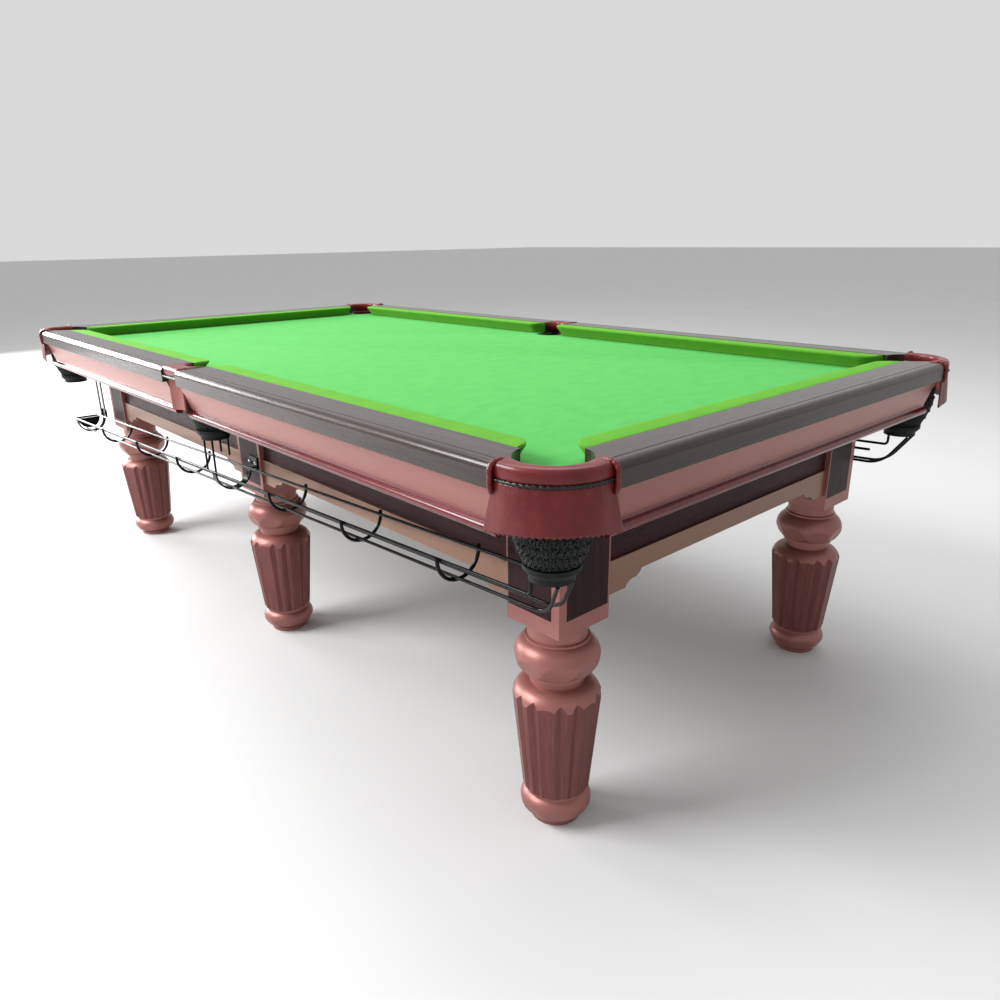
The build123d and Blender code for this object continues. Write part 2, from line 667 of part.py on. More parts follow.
with BuildPart(mode=Mode.PRIVATE) as leg_blank:
    with BuildSketch(Plane.XZ):
        with BuildLine():
            Polyline((0, BLOCK_FOOT), (0, LEG_SOLE), BASE_FOOT)
            ThreePointArc(BASE_FOOT, BASE_BELLY, BASE_TOP)
            Polyline(BASE_TOP, (BASE_TOP[0], BODY_FOOT[1] - STEP), BODY_FOOT, BODY_TOP)
            ThreePointArc(BODY_TOP, SHOULDER, WAIST)
            under_torus = TORUS_FOOT[1] - STEP
            Polyline(WAIST, (WAIST[0], under_torus), (TORUS_FOOT[0], under_torus), TORUS_FOOT)
            ThreePointArc(TORUS_FOOT, TORUS_BELLY, TORUS_TOP)
            collar = TORUS_TOP[1] + COLLAR_HEIGHT
            Polyline(
                TORUS_TOP, (COLLAR_RADIUS, collar - STEP), (COLLAR_RADIUS, collar - STEP / 3),
                (NECK_RADIUS, collar), (NECK_RADIUS, BLOCK_FOOT), (0, BLOCK_FOOT),
            )
        make_face()
    revolve(axis=Axis.Z)
    with BuildSketch(Plane.XY.offset(BLOCK_FOOT)):
        Rectangle(BLOCK, BLOCK)
    extrude(amount=SLATE_FOOT - BLOCK_FOOT)
    # Broad flats and pairs of V flutes run out through the body's shoulder.
    cut_length = FLUTE_TOP - FLUTE_FOOT
    for index in range(FLAT_COUNT):
        middle = 360 * index / FLAT_COUNT
        flat_share = 1 - FLAT_DEPTH / BODY_TOP[0]
        with BuildSketch(body_cut_plane(radians(middle), flat_share, FLUTE_FOOT)):
            Rectangle(2 * FLAT_REACH, CUT_REACH, align=(Align.CENTER, Align.MAX))
        extrude(amount=cut_length, mode=Mode.SUBTRACT)
        flute_share = 1 - FLUTE_DEPTH / BODY_TOP[0]
        wing = CUT_REACH * FLUTE_SPREAD
        for side in (-1, 1):
            turn = radians(middle + side * FLUTE_TURN)
            with BuildSketch(body_cut_plane(turn, flute_share, FLUTE_FOOT)):
                with BuildLine():
                    Polyline((0, 0), (-wing, -CUT_REACH), (wing, -CUT_REACH), close=True)
                make_face()
            extrude(amount=cut_length, mode=Mode.SUBTRACT)
    # Flat oval facets on the undersides of the two turned rings.
    for foot, belly, top, depth in (
        (TORUS_FOOT, TORUS_BELLY, TORUS_TOP, UPPER_FACET_DEPTH),
        (BASE_FOOT, BASE_BELLY, BASE_TOP, BASE_FACET_DEPTH),
    ):
        facet_r, facet_z = facet_centre(foot, belly, top, depth)
        tilt = radians(FACET_TILT)
        for index in range(FACET_COUNT):
            turn = radians(360 * index / FACET_COUNT)
            facet_plane = Plane(
                origin=(facet_r * cos(turn), facet_r * sin(turn), facet_z),
                x_dir=(-sin(turn), cos(turn), 0),
                z_dir=(cos(tilt) * cos(turn), cos(tilt) * sin(turn), -sin(tilt)),
            )
            with BuildSketch(facet_plane):
                Rectangle(belly[0], belly[1] - foot[1])
            extrude(amount=2 * depth, mode=Mode.SUBTRACT)
    # Well for the levelling foot's threaded insert and stud.
    with BuildSketch(Plane.XY.offset(LEG_SOLE)):
        Circle(INSERT_RADIUS)
    extrude(amount=INSERT_LENGTH, mode=Mode.SUBTRACT)
    with BuildSketch(Plane.XY.offset(LEG_SOLE)):
        Circle(STUD_RADIUS + STUD_CLEARANCE)
    extrude(amount=STUD_LENGTH + STUD_WELL, mode=Mode.SUBTRACT)


def inlay_places(sx, sy):
    """Faces that carry an inlay: (centre x, centre y, along X?) for one leg."""
    shift = (INLAY_BORDER - INLAY_MARGIN) / 2
    depth = HALF_BLOCK - INLAY_THICKNESS / 2
    places = [(sx * (LEG_X - shift), sy * (LEG_Y + depth), True)]
    if sx:
        places.append((sx * (LEG_X + depth), sy * (LEG_Y - shift), False))
    return places


INLAY_WIDTH = BLOCK - INLAY_BORDER - INLAY_MARGIN
INLAY_FOOT = BLOCK_FOOT + INLAY_RISE


def inlay_boards(places):
    """Thin boards let into the faces of a leg's block."""
    with BuildPart(mode=Mode.PRIVATE) as boards:
        with BuildSketch(Plane.XY.offset(INLAY_FOOT)):
            for x, y, along_x in places:
                size = (INLAY_WIDTH, INLAY_THICKNESS) if along_x else (INLAY_THICKNESS, INLAY_WIDTH)
                with Locations((x, y)):
                    Rectangle(*size)
        extrude(amount=SLATE_FOOT - INLAY_FOOT)
    return boards.part


for name, (sx, sy) in PLACES.items():
    with BuildPart() as leg:
        with Locations((sx * LEG_X, sy * LEG_Y)):
            add(leg_blank.part)
        add(inlay_boards(inlay_places(sx, sy)), mode=Mode.SUBTRACT)
    write(leg.part, f"leg_{name}")

write(inlay_boards([p for place in PLACES.values() for p in inlay_places(*place)]), "leg_inlays")

leg_centres = [(sx * LEG_X, sy * LEG_Y) for sx, sy in PLACES.values()]
with BuildPart() as leg_inserts:
    with BuildSketch(Plane.XY.offset(LEG_SOLE)):
        with Locations(*leg_centres):
            Circle(INSERT_RADIUS)
            Circle(STUD_RADIUS + STUD_CLEARANCE, mode=Mode.SUBTRACT)
    extrude(amount=INSERT_LENGTH)
write(leg_inserts.part, "leg_inserts")

for name, (sx, sy) in PLACES.items():
    with BuildPart() as foot:
        with Locations((sx * LEG_X, sy * LEG_Y, 0)):
            Cylinder(FOOT_RADIUS, FOOT_THICKNESS, align=(Align.CENTER, Align.CENTER, Align.MIN))
            rim = foot.edges().filter_by(GeomType.CIRCLE).sort_by(Axis.Z)[-1]
            chamfer(rim, FOOT_CHAMFER)
            Cylinder(
                STUD_RADIUS, FOOT_THICKNESS + STUD_LENGTH,
                align=(Align.CENTER, Align.CENTER, Align.MIN),
            )
    write(foot.part, f"levelling_foot_{name}")

# Frame and apron ----------------------------------------------------------------
BEAM_FACE = HALF_BLOCK - PANEL_RECESS - PANEL_THICKNESS     # from a leg's centre line
PANEL_FACE = HALF_BLOCK - PANEL_RECESS
BAYS = [("long", sy, -LEG_X + HALF_BLOCK, -HALF_BLOCK) for sy in (-1, 1)]
BAYS += [("long", sy, HALF_BLOCK, LEG_X - HALF_BLOCK) for sy in (-1, 1)]
BAYS += [("end", sx, -LEG_Y + HALF_BLOCK, LEG_Y - HALF_BLOCK) for sx in (-1, 1)]


def bay_boards(bays, face, thickness, foot, top):
    """Upright boards between the leg blocks; face is from the legs' centre line."""
    with BuildPart(mode=Mode.PRIVATE) as boards:
        with BuildSketch(Plane.XY.offset(foot)):
            for kind, sign, low, high in bays:
                middle = (low + high) / 2
                if kind == "long":
                    with Locations((middle, sign * (LEG_Y + face - thickness / 2))):
                        Rectangle(high - low, thickness)
                else:
                    with Locations((sign * (LEG_X + face - thickness / 2), middle)):
                        Rectangle(thickness, high - low)
        extrude(amount=top - foot)
    return boards.part


write(bay_boards(BAYS, BEAM_FACE, BEAM_THICKNESS, BEAM_FOOT, SLATE_FOOT), "frame_beams")
write(bay_boards(BAYS, PANEL_FACE, PANEL_THICKNESS, LOWER_RAIL_TOP, SLATE_FOOT), "apron_panels")

inner_face = LEG_Y + BEAM_FACE - BEAM_THICKNESS
with BuildPart() as cross_beams:
    with BuildSketch(Plane.XY.offset(CROSS_BEAM_FOOT)):
        for beam_x in (-LEG_X / 2, LEG_X / 2):
            with Locations((beam_x, 0)):
                Rectangle(CROSS_BEAM_WIDTH, 2 * inner_face)
        Rectangle(CROSS_BEAM_WIDTH, 2 * (LEG_Y - HALF_BLOCK))
    extrude(amount=SLATE_FOOT - CROSS_BEAM_FOOT)
write(cross_beams.part, "cross_beams")


def lower_rail_outline(low, high):
    """Face of a lower rail: straight foot with an ogee bracket at each end."""
    bracket_foot = LOWER_RAIL_FOOT - BRACKET_DROP
    half_drop = LOWER_RAIL_FOOT - BRACKET_DROP / 2
    curve = (BRACKET_LENGTH - BRACKET_FOOT_LENGTH) / 2
    with BuildLine() as outline:
        for end, inwards in ((low, 1), (high, -1)):
            foot_end = end + inwards * BRACKET_FOOT_LENGTH
            middle = foot_end + inwards * curve
            crest = end + inwards * BRACKET_LENGTH
            Polyline((end, LOWER_RAIL_TOP), (end, bracket_foot), (foot_end, bracket_foot))
            RadiusArc(
                (foot_end, bracket_foot), (middle, half_drop), inwards * OGEE_RADIUS,
            )
            RadiusArc(
                (middle, half_drop), (crest, LOWER_RAIL_FOOT), -inwards * OGEE_RADIUS,
            )
        Line((low + BRACKET_LENGTH, LOWER_RAIL_FOOT), (high - BRACKET_LENGTH, LOWER_RAIL_FOOT))
        Line((low, LOWER_RAIL_TOP), (high, LOWER_RAIL_TOP))
    make_face(outline.edges())


with BuildPart() as lower_rails:
    rail_thickness = PANEL_THICKNESS + PANEL_RECESS - RAIL_RECESS
    for kind, sign, low, high in BAYS:
        if kind == "long":
            plane = Plane(origin=(0, sign * (LEG_Y + BEAM_FACE), 0), x_dir=(1, 0, 0), z_dir=(0, -1, 0))
            outwards = -sign
        else:
            plane = Plane(origin=(sign * (LEG_X + BEAM_FACE), 0, 0), x_dir=(0, 1, 0), z_dir=(1, 0, 0))
            outwards = sign
        with BuildSketch(plane):
            lower_rail_outline(low, high)
        extrude(amount=outwards * rail_thickness)
write(lower_rails.part, "lower_rails")

# Ball tracks --------------------------------------------------------------------
LOWER_ROD_DROP = sqrt(TRACK_RADIUS**2 - LOWER_ROD_OFFSET**2)
HOOP_CENTRE = TRACK_RADIUS + ROD_RADIUS + HOOP_RADIUS
STRAP_INNER = TRACK_RADIUS + ROD_RADIUS + STRAP_CLEARANCE
RING_SEAT = (RING_BORE_RADIUS + RING_FOOT_RADIUS) / 2
CORNER_POCKET_X = HALF_LENGTH - CORNER_INSET
CORNER_POCKET_Y = HALF_WIDTH - CORNER_INSET
MIDDLE_POCKET_Y = HALF_WIDTH - MIDDLE_INSET


def track_height(x):
    """Height of the top rods' centres at a place along the table."""
    return TRACK_MID_HEIGHT + TRACK_FALL * x


def rod(points, bend, radius=ROD_RADIUS):
    """Round rod along straight runs joined by tangent bends."""
    with BuildPart(mode=Mode.PRIVATE) as bar:
        with BuildLine() as path:
            if len(points) > 2:
                FilletPolyline(*points, radius=bend)
            else:
                Line(*points)
        with BuildSketch(path.line ^ 0):
            Circle(radius)
        sweep()
    return bar.part


def track_rods(sy):
    """Four rods of one track: two at the top and two that carry the balls."""
    rods = []
    left, right = -TRACK_LEFT_END, TRACK_RIGHT_END
    inner_y, outer_y = sy * (TRACK_Y - TRACK_RADIUS), sy * (TRACK_Y + TRACK_RADIUS)
    rods.append(rod([(left, inner_y, track_height(left)), (right, inner_y, track_height(right))], 0))
    # The outer top rod turns up to the right-hand ring.
    seat_x = CORNER_POCKET_X - sqrt(RING_SEAT**2 - (TRACK_Y + TRACK_RADIUS - CORNER_POCKET_Y) ** 2)
    rods.append(rod([
        (left, outer_y, track_height(left)), (seat_x, outer_y, track_height(seat_x)),
        (seat_x, outer_y, RING_FOOT),
    ], 3 * ROD_RADIUS))
    # The lower rods climb in a wide bend, which turns a falling ball along the track.
    seat_along, seat_across = GUIDE_SEAT
    top_x = CORNER_POCKET_X + seat_along
    climb_x = top_x - GUIDE_RUN
    for side in (-1, 1):
        rod_y = sy * (TRACK_Y + side * LOWER_ROD_OFFSET)
        low_x = -LOWER_ROD_LEFT_END
        rods.append(rod([
            (low_x, rod_y, track_height(low_x) - LOWER_ROD_DROP),
            (climb_x, rod_y, track_height(climb_x) - LOWER_ROD_DROP),
            (top_x, sy * (CORNER_POCKET_Y + side * seat_across), RING_FOOT - GUIDE_CLEARANCE),
        ], GUIDE_RISE_RADIUS))
    return rods


for name, sy in (("front", -1), ("back", 1)):
    with BuildPart() as ball_track:
        for bar in track_rods(sy):
            add(bar)
    write(ball_track.part, f"ball_track_{name}")


def track_plane(x, sy):
    """Upright plane across a track, centred on the channel's axis."""
    return Plane(origin=(x, sy * TRACK_Y, track_height(x)), x_dir=(0, sy, 0), z_dir=(sy, 0, 0))


def make_hoop(x, sy):
    """U-shaped hoop that the four rods lie in."""
    with BuildPart(mode=Mode.PRIVATE) as hoop:
        with BuildLine(track_plane(x, sy)) as path:
            Line((-HOOP_CENTRE, HOOP_TIP), (-HOOP_CENTRE, 0))
            ThreePointArc((-HOOP_CENTRE, 0), (0, -HOOP_CENTRE), (HOOP_CENTRE, 0))
            Line((HOOP_CENTRE, 0), (HOOP_CENTRE, HOOP_TIP))
        with BuildSketch(path.line ^ 0):
            Circle(HOOP_RADIUS)
        sweep()
    return hoop.part


with BuildPart() as track_hoops:
    for sy in (-1, 1):
        for share in HOOP_POSITIONS:
            add(make_hoop(share * HALF_LENGTH, sy))
write(track_hoops.part, "track_hoops")


def make_bracket(x, sy, plate_y, screws):
    """Flat strap under the rods, with a plate on its table side; plate_y is its back."""
    strap_outer = STRAP_INNER + BRACKET_THICKNESS
    back = TRACK_Y - plate_y
    front = back - BRACKET_THICKNESS
    with BuildPart(mode=Mode.PRIVATE) as bracket:
        with BuildSketch(track_plane(x, sy).offset(-BRACKET_WIDTH / 2)):
            Circle(strap_outer)
            Circle(STRAP_INNER, mode=Mode.SUBTRACT)
            Rectangle(
                2 * strap_outer, strap_outer, align=(Align.CENTER, Align.MIN), mode=Mode.SUBTRACT,
            )
            # Web from the strap's top to the plate.
            with Locations((-STRAP_INNER, 0)):
                Rectangle(
                    back - STRAP_INNER, BRACKET_THICKNESS, align=(Align.MAX, Align.MAX),
                )
        extrude(amount=BRACKET_WIDTH)
        with BuildSketch(track_plane(x, sy).offset(-BRACKET_PLATE / 2)):
            with Locations((-back, -BRACKET_THICKNESS)):
                Rectangle(
                    back - front, BRACKET_PLATE_HEIGHT, align=(Align.MIN, Align.MIN),
                )
        extrude(amount=BRACKET_PLATE)
        if screws:
            add(screw_shanks(x, sy), mode=Mode.SUBTRACT)
    return bracket.part


def screw_places(x):
    """Along-track and height places of a bracket's screws."""
    height = track_height(x) + BRACKET_PLATE_HEIGHT / 2 - BRACKET_THICKNESS
    return [(x - SCREW_SPACING / 2, height), (x + SCREW_SPACING / 2, height)]


def screw_shanks(x, sy):
    """Shanks of a bracket's screws, from the plate's front into the leg."""
    with BuildPart(mode=Mode.PRIVATE) as shanks:
        front = sy * (BLOCK_FACE_Y + BRACKET_THICKNESS)
        for screw_x, screw_z in screw_places(x):
            plane = Plane(origin=(screw_x, front, screw_z), x_dir=(1, 0, 0), z_dir=(0, -sy, 0))
            with BuildSketch(plane):
                Circle(SCREW_RADIUS)
            extrude(amount=BRACKET_THICKNESS + SCREW_GRIP)
    return shanks.part


hanger_y = TRACK_Y - STRAP_INNER - HANGER_THICKNESS
with BuildPart() as track_brackets:
    for sy in (-1, 1):
        add(make_bracket(BRACKET_X, sy, BLOCK_FACE_Y, True))
        add(make_bracket(-CORNER_POCKET_X, sy, hanger_y - BRACKET_THICKNESS, False))
write(track_brackets.part, "track_brackets")

with BuildPart() as track_screws:
    for sy in (-1, 1):
        add(screw_shanks(BRACKET_X, sy))
        for screw_x, screw_z in screw_places(BRACKET_X):
            front = sy * (BLOCK_FACE_Y + BRACKET_THICKNESS)
            plane = Plane(origin=(screw_x, front, screw_z), x_dir=(1, 0, 0), z_dir=(0, sy, 0))
            with BuildSketch(plane):
                Circle(SCREW_HEAD_RADIUS)
            extrude(amount=SCREW_HEAD_HEIGHT, taper=15)
write(track_screws.part, "track_screws")

with BuildPart() as track_hangers:
    for sy in (-1, 1):
        for step in (-1, 1):
            hanger_x = -CORNER_POCKET_X + step * HANGER_SPACING / 2
            foot = track_height(hanger_x) - BRACKET_THICKNESS
            with BuildSketch(Plane.XY.offset(foot)):
                with Locations((hanger_x, sy * (hanger_y + HANGER_THICKNESS / 2))):
                    Rectangle(HANGER_WIDTH, HANGER_THICKNESS)
            extrude(amount=SLATE_FOOT - foot)
write(track_hangers.part, "track_hangers")

with BuildPart() as track_ends:
    for sy in (-1, 1):
        # Cross rod that closes the top rods at the low end.
        end_x = -TRACK_LEFT_END - ROD_RADIUS
        reach = TRACK_RADIUS + ROD_RADIUS
        add(rod([
            (end_x, sy * (TRACK_Y - reach), track_height(end_x)),
            (end_x, sy * (TRACK_Y + reach), track_height(end_x)),
        ], 0))
        # Half-round stop that the last ball rests against.
        stop_x = -LOWER_ROD_LEFT_END - STOP_THICKNESS / 2
        with BuildSketch(track_plane(stop_x, sy).offset(-STOP_THICKNESS / 2)):
            Circle(TRACK_RADIUS - ROD_RADIUS)
            Rectangle(
                2 * TRACK_RADIUS, TRACK_RADIUS, align=(Align.CENTER, Align.MIN), mode=Mode.SUBTRACT,
            )
        extrude(amount=STOP_THICKNESS)
write(track_ends.part, "track_ends")

with BuildPart() as pocket_prongs:
    for sy in (-1, 1):
        offset = sqrt(RING_SEAT**2 - PRONG_SPREAD**2)
        for side in (-1, 1):
            prong_x = side * PRONG_SPREAD
            rod_top = track_height(prong_x) + ROD_RADIUS + PRONG_CLEARANCE
            for prong_y, foot in (
                (MIDDLE_POCKET_Y + offset, rod_top), (MIDDLE_POCKET_Y - offset, RING_FOOT - SHORT_PRONG),
            ):
                with BuildSketch(Plane.XY.offset(foot)):
                    with Locations((prong_x, sy * prong_y)):
                        Circle(PRONG_RADIUS)
                extrude(amount=RING_FOOT - foot)
write(pocket_prongs.part, "pocket_prongs")
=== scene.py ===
from math import acos, atan2, ceil, cos, exp, pi, radians, sin, sqrt

import bpy
from mathutils import Matrix, Vector
from mathutils import noise


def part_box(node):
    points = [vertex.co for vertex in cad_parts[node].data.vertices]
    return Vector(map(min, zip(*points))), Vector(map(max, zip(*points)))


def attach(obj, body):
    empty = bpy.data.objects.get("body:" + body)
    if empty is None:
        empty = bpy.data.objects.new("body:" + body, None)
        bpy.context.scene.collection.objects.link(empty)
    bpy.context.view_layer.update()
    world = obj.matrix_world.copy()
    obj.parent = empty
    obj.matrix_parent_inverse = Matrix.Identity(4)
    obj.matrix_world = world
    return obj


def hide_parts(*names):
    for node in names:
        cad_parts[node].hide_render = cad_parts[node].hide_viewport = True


# Looks of a nine-foot pool table, in metres. Front is -Y and the high end of the
# ball tracks is +X, as in the CAD frame.
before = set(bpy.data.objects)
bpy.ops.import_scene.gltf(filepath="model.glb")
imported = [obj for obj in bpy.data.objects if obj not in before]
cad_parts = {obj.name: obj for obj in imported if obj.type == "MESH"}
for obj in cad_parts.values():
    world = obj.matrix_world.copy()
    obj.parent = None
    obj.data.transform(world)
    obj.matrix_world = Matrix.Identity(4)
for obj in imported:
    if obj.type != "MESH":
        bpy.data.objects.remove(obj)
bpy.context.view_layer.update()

# Sizes read from the frame ------------------------------------------------------
SIDES = {
    "front_left": (-1, -1), "front_middle": (0, -1), "front_right": (1, -1),
    "back_left": (-1, 1), "back_middle": (0, 1), "back_right": (1, 1),
}
CAPS = {
    "front_left": ("long", -1, -1), "front_right": ("long", -1, 1),
    "back_left": ("long", 1, -1), "back_right": ("long", 1, 1),
    "left_end": ("end", -1, 0), "right_end": ("end", 1, 0),
}
cap_low, cap_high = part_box("cap_rail_front_left")
cushion_low, cushion_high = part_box("cushion_front_left")
end_cushion_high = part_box("cushion_right_end")[1]
bed_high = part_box("bed_cloth")[1]
corner_leather_low, corner_leather_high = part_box("pocket_leather_front_right")
corner_net_low, corner_net_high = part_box("pocket_net_front_right")
middle_net_low, middle_net_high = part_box("pocket_net_front_middle")

HALF_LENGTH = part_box("cap_rail_right_end")[1].x
HALF_WIDTH = -cap_low.y
CAP_TOP = cap_high.z
CAP_FOOT = cap_low.z
CLOTH_TOP = bed_high.z
CUSHION_TOP = cushion_high.z
CAP_DEPTH = HALF_WIDTH + cushion_low.y      # outer face to the cushion
NOSE_DEPTH = HALF_WIDTH + cushion_high.y    # outer face to the cushion's nose
CORNER_JAW_END = HALF_WIDTH - end_cushion_high.y
MIDDLE_JAW_BACK = -cushion_high.x
SLATE_MARGIN = HALF_LENGTH - bed_high.x
CORNER_INSET = HALF_LENGTH - (corner_net_low.x + corner_net_high.x) / 2
MIDDLE_INSET = HALF_WIDTH + (middle_net_low.y + middle_net_high.y) / 2
LEATHER_TOP = corner_leather_high.z
LEATHER_INSET = HALF_LENGTH - corner_leather_high.x
SKIRT_FOOT = corner_leather_low.z
CAP_END = HALF_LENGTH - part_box("cap_rail_front_right")[1].x

# Sizes of the soft pieces -------------------------------------------------------
CORNER_JAW_RADIUS = 0.053
MIDDLE_JAW_RADIUS = 0.026
MIDDLE_JAW_NOSE = 0.058
NOSE_HEIGHT = 0.005
NOSE_UNDERCUT = 0.020
CORNER_MOUTH_RADIUS = 0.064
MIDDLE_MOUTH_RADIUS = 0.050
CORNER_DROP_RADIUS = 0.054
MIDDLE_DROP_RADIUS = 0.052
LEATHER_CORNER_RADIUS = 0.110
NET_NECK_RADIUS = 0.0408    # at a net's foot, where it meets its ring
CAP_ROUND = 0.014
BODY_FOOT, BODY_TOP = 0.072, 0.292     # fluted body of a leg
FACE_GAP = 0.0006           # keeps a soft face clear of a hard one


# Material nodes -----------------------------------------------------------------
class Finish:
    """A material in the making: its shader and short calls that add texture nodes."""

    def __init__(self, name, **sockets):
        self.material = bpy.data.materials.new(name)
        self.material.use_nodes = True
        self.nodes = self.material.node_tree.nodes
        self.links = self.material.node_tree.links
        self.shader = self.nodes["Principled BSDF"]
        for socket, value in sockets.items():
            self.set(socket.replace("_", " "), value)
        self.place = self.nodes.new("ShaderNodeTexCoord").outputs["Object"]

    def set(self, socket, value):
        """Links an output to a shader socket, or sets a constant there."""
        if isinstance(value, bpy.types.NodeSocket):
            self.links.new(value, self.shader.inputs[socket])
        elif isinstance(value, tuple):
            self.shader.inputs[socket].default_value = (*value, 1)
        else:
            self.shader.inputs[socket].default_value = value

    def feed(self, value, socket):
        """Links or sets a socket of any texture node."""
        if isinstance(value, bpy.types.NodeSocket):
            self.links.new(value, socket)
        elif isinstance(value, tuple) and len(socket.default_value) == 4:
            socket.default_value = (*value, 1)
        else:
            socket.default_value = value

    def stretched(self, scale):
        """Object coordinates scaled along each axis."""
        mapping = self.nodes.new("ShaderNodeMapping")
        self.links.new(self.place, mapping.inputs["Vector"])
        mapping.inputs["Scale"].default_value = scale
        return mapping.outputs["Vector"]

    def noise(self, scale, detail=3, stretch=(1, 1, 1), rough=0.55, distortion=0):
        """Cloudy texture."""
        node = self.nodes.new("ShaderNodeTexNoise")
        self.links.new(self.stretched(stretch), node.inputs["Vector"])
        node.inputs["Scale"].default_value = scale
        node.inputs["Detail"].default_value = detail
        node.inputs["Roughness"].default_value = rough
        node.inputs["Distortion"].default_value = distortion
        return node.outputs["Fac"]

    def cells(self, scale):
        """Distance from the middle of each scattered cell."""
        node = self.nodes.new("ShaderNodeTexVoronoi")
        self.links.new(self.stretched((1, 1, 1)), node.inputs["Vector"])
        node.inputs["Scale"].default_value = scale
        return node.outputs["Distance"]

    def bands(self, scale, axis, distortion=0, detail=2, detail_scale=1, stretch=(1, 1, 1)):
        """Stripes across one axis."""
        node = self.nodes.new("ShaderNodeTexWave")
        node.bands_direction = axis
        self.links.new(self.stretched(stretch), node.inputs["Vector"])
        node.inputs["Scale"].default_value = scale
        node.inputs["Distortion"].default_value = distortion
        node.inputs["Detail"].default_value = detail
        node.inputs["Detail Scale"].default_value = detail_scale
        return node.outputs["Fac"]

    def coordinate(self, axis):
        """Object coordinate along one axis."""
        node = self.nodes.new("ShaderNodeSeparateXYZ")
        self.links.new(self.place, node.inputs["Vector"])
        return node.outputs[axis]

    def math(self, operation, first, second=0.0):
        """Result of one operation on numbers or outputs."""
        node = self.nodes.new("ShaderNodeMath")
        node.operation = operation
        self.feed(first, node.inputs[0])
        self.feed(second, node.inputs[1])
        return node.outputs[0]

    def span(self, value, low, high, to_low=0.0, to_high=1.0):
        """Maps low..high to to_low..to_high, held at the ends."""
        node = self.nodes.new("ShaderNodeMapRange")
        self.feed(value, node.inputs["Value"])
        numbers = {"From Min": low, "From Max": high, "To Min": to_low, "To Max": to_high}
        for socket, number in numbers.items():
            node.inputs[socket].default_value = number
        return node.outputs["Result"]

    def mix(self, share, first, second):
        """Colour between two others."""
        node = self.nodes.new("ShaderNodeMix")
        node.data_type = "RGBA"
        self.feed(share, node.inputs[0])
        self.feed(first, node.inputs[6])
        self.feed(second, node.inputs[7])
        return node.outputs[2]

    def bump(self, height, distance, strength=1.0):
        """Adds relief, on top of any that the shader already has."""
        node = self.nodes.new("ShaderNodeBump")
        node.inputs["Strength"].default_value = strength
        node.inputs["Distance"].default_value = distance
        self.links.new(height, node.inputs["Height"])
        earlier = self.shader.inputs["Normal"].links
        if earlier:
            self.links.new(earlier[0].from_socket, node.inputs["Normal"])
        self.links.new(node.outputs["Normal"], self.shader.inputs["Normal"])


def rose_lacquer(name, base, dark, light, grain=(1, 1, 1), roughness=0.34):
    """Satin metallic lacquer over wood, with a fine flake and faint grain."""
    paint = Finish(name, Metallic=0.4, Coat_Weight=0.06, Coat_Roughness=0.25)
    broad = paint.noise(9, 3, grain)
    fine = paint.noise(900, 2, grain)
    flake = paint.cells(2200)
    colour = paint.mix(paint.span(broad, 0.35, 0.65), dark, base)
    colour = paint.mix(paint.span(fine, 0.55, 0.8, 0, 0.25), colour, light)
    paint.colour = paint.mix(paint.span(flake, 0.0, 0.3, 0.3, 0), colour, light)
    paint.set("Base Color", paint.colour)
    paint.set("Roughness", paint.span(fine, 0.3, 0.7, roughness - 0.05, roughness + 0.08))
    paint.bump(fine, 0.00012, 0.4)
    paint.bump(flake, 0.00005, 0.4)
    return paint


def leg_lacquer():
    """The same lacquer, with painted shade on the side- and downward-facing faces of the fluted body, below
    its shoulder.
    """
    paint = rose_lacquer("leg lacquer", ROSE, ROSE_DARK, ROSE_LIGHT, (1, 1, 0.4), 0.40)
    facing = paint.nodes.new("ShaderNodeNewGeometry")
    split = paint.nodes.new("ShaderNodeSeparateXYZ")
    paint.links.new(facing.outputs["Normal"], split.inputs["Vector"])
    height = paint.coordinate("Z")
    # Mask of faces that face sideways or down; on the fluted body these get painted shade.
    level = paint.span(split.outputs["Z"], 0.02, 0.12, 1, 0)
    above_foot = paint.span(height, BODY_FOOT - 0.002, BODY_FOOT + 0.001)
    below_shoulder = paint.span(height, BODY_TOP + 0.026, BODY_TOP + 0.03, 1, 0)
    body = paint.math("MULTIPLY", level, paint.math("MULTIPLY", above_foot, below_shoulder))
    streaks = paint.noise(160, 3, (1, 1, 0.05))
    # Painted shade: a darker, streaked maroon laid over the lacquer on those faces.
    painted_shade = paint.mix(paint.span(streaks, 0.35, 0.7), FLUTE_SHADE_DARK, FLUTE_SHADE)
    paint.set("Base Color", paint.mix(paint.math("MULTIPLY", body, 0.9), paint.colour, painted_shade))
    return paint


GRAIN_STRETCH = 0.035       # scale of wood grain along the board, against across it


def wood_lacquer(name, axis, dark, light, roughness, coat, gloss):
    """Dark wood under clear lacquer, with grain along an axis, or XY for level boards."""
    along = tuple(GRAIN_STRETCH if letter in axis else 1 for letter in "XYZ")
    wood = Finish(name, Coat_Weight=coat, Coat_Roughness=0.12, Specular_IOR_Level=gloss)
    pores = wood.noise(420, 3, along, 0.65)
    figure = wood.noise(34, 4, along, 0.6, 1.2)
    colour = wood.mix(wood.span(figure, 0.32, 0.68), dark, light)
    in_pores = tuple(c * 0.45 for c in dark)
    wood.set("Base Color", wood.mix(wood.span(pores, 0.5, 0.72, 0, 0.6), colour, in_pores))
    wood.set("Roughness", wood.span(pores, 0.3, 0.75, roughness, roughness + 0.14))
    wood.bump(pores, 0.0002, 0.6)
    return wood


def ribbed_wood(name, dark, light):
    """Dark stained board with fine level ribs, whichever way it runs, and painted shade in the rib grooves.
    """
    board = wood_lacquer(name, "XY", dark, light, 0.36, 0.0, 0.15)
    ribs = board.bands(95, "Z", 0.7, 2, 0.6, (0.1, 0.1, 1))
    grain = board.shader.inputs["Base Color"].links[0].from_socket
    # Painted shade: the board darkens towards the bottom of each rib groove.
    board.set("Base Color", board.mix(board.span(ribs, 0.15, 0.55, 0.75, 0), grain, dark))
    board.bump(ribs, 0.0007, 0.7)
    return board


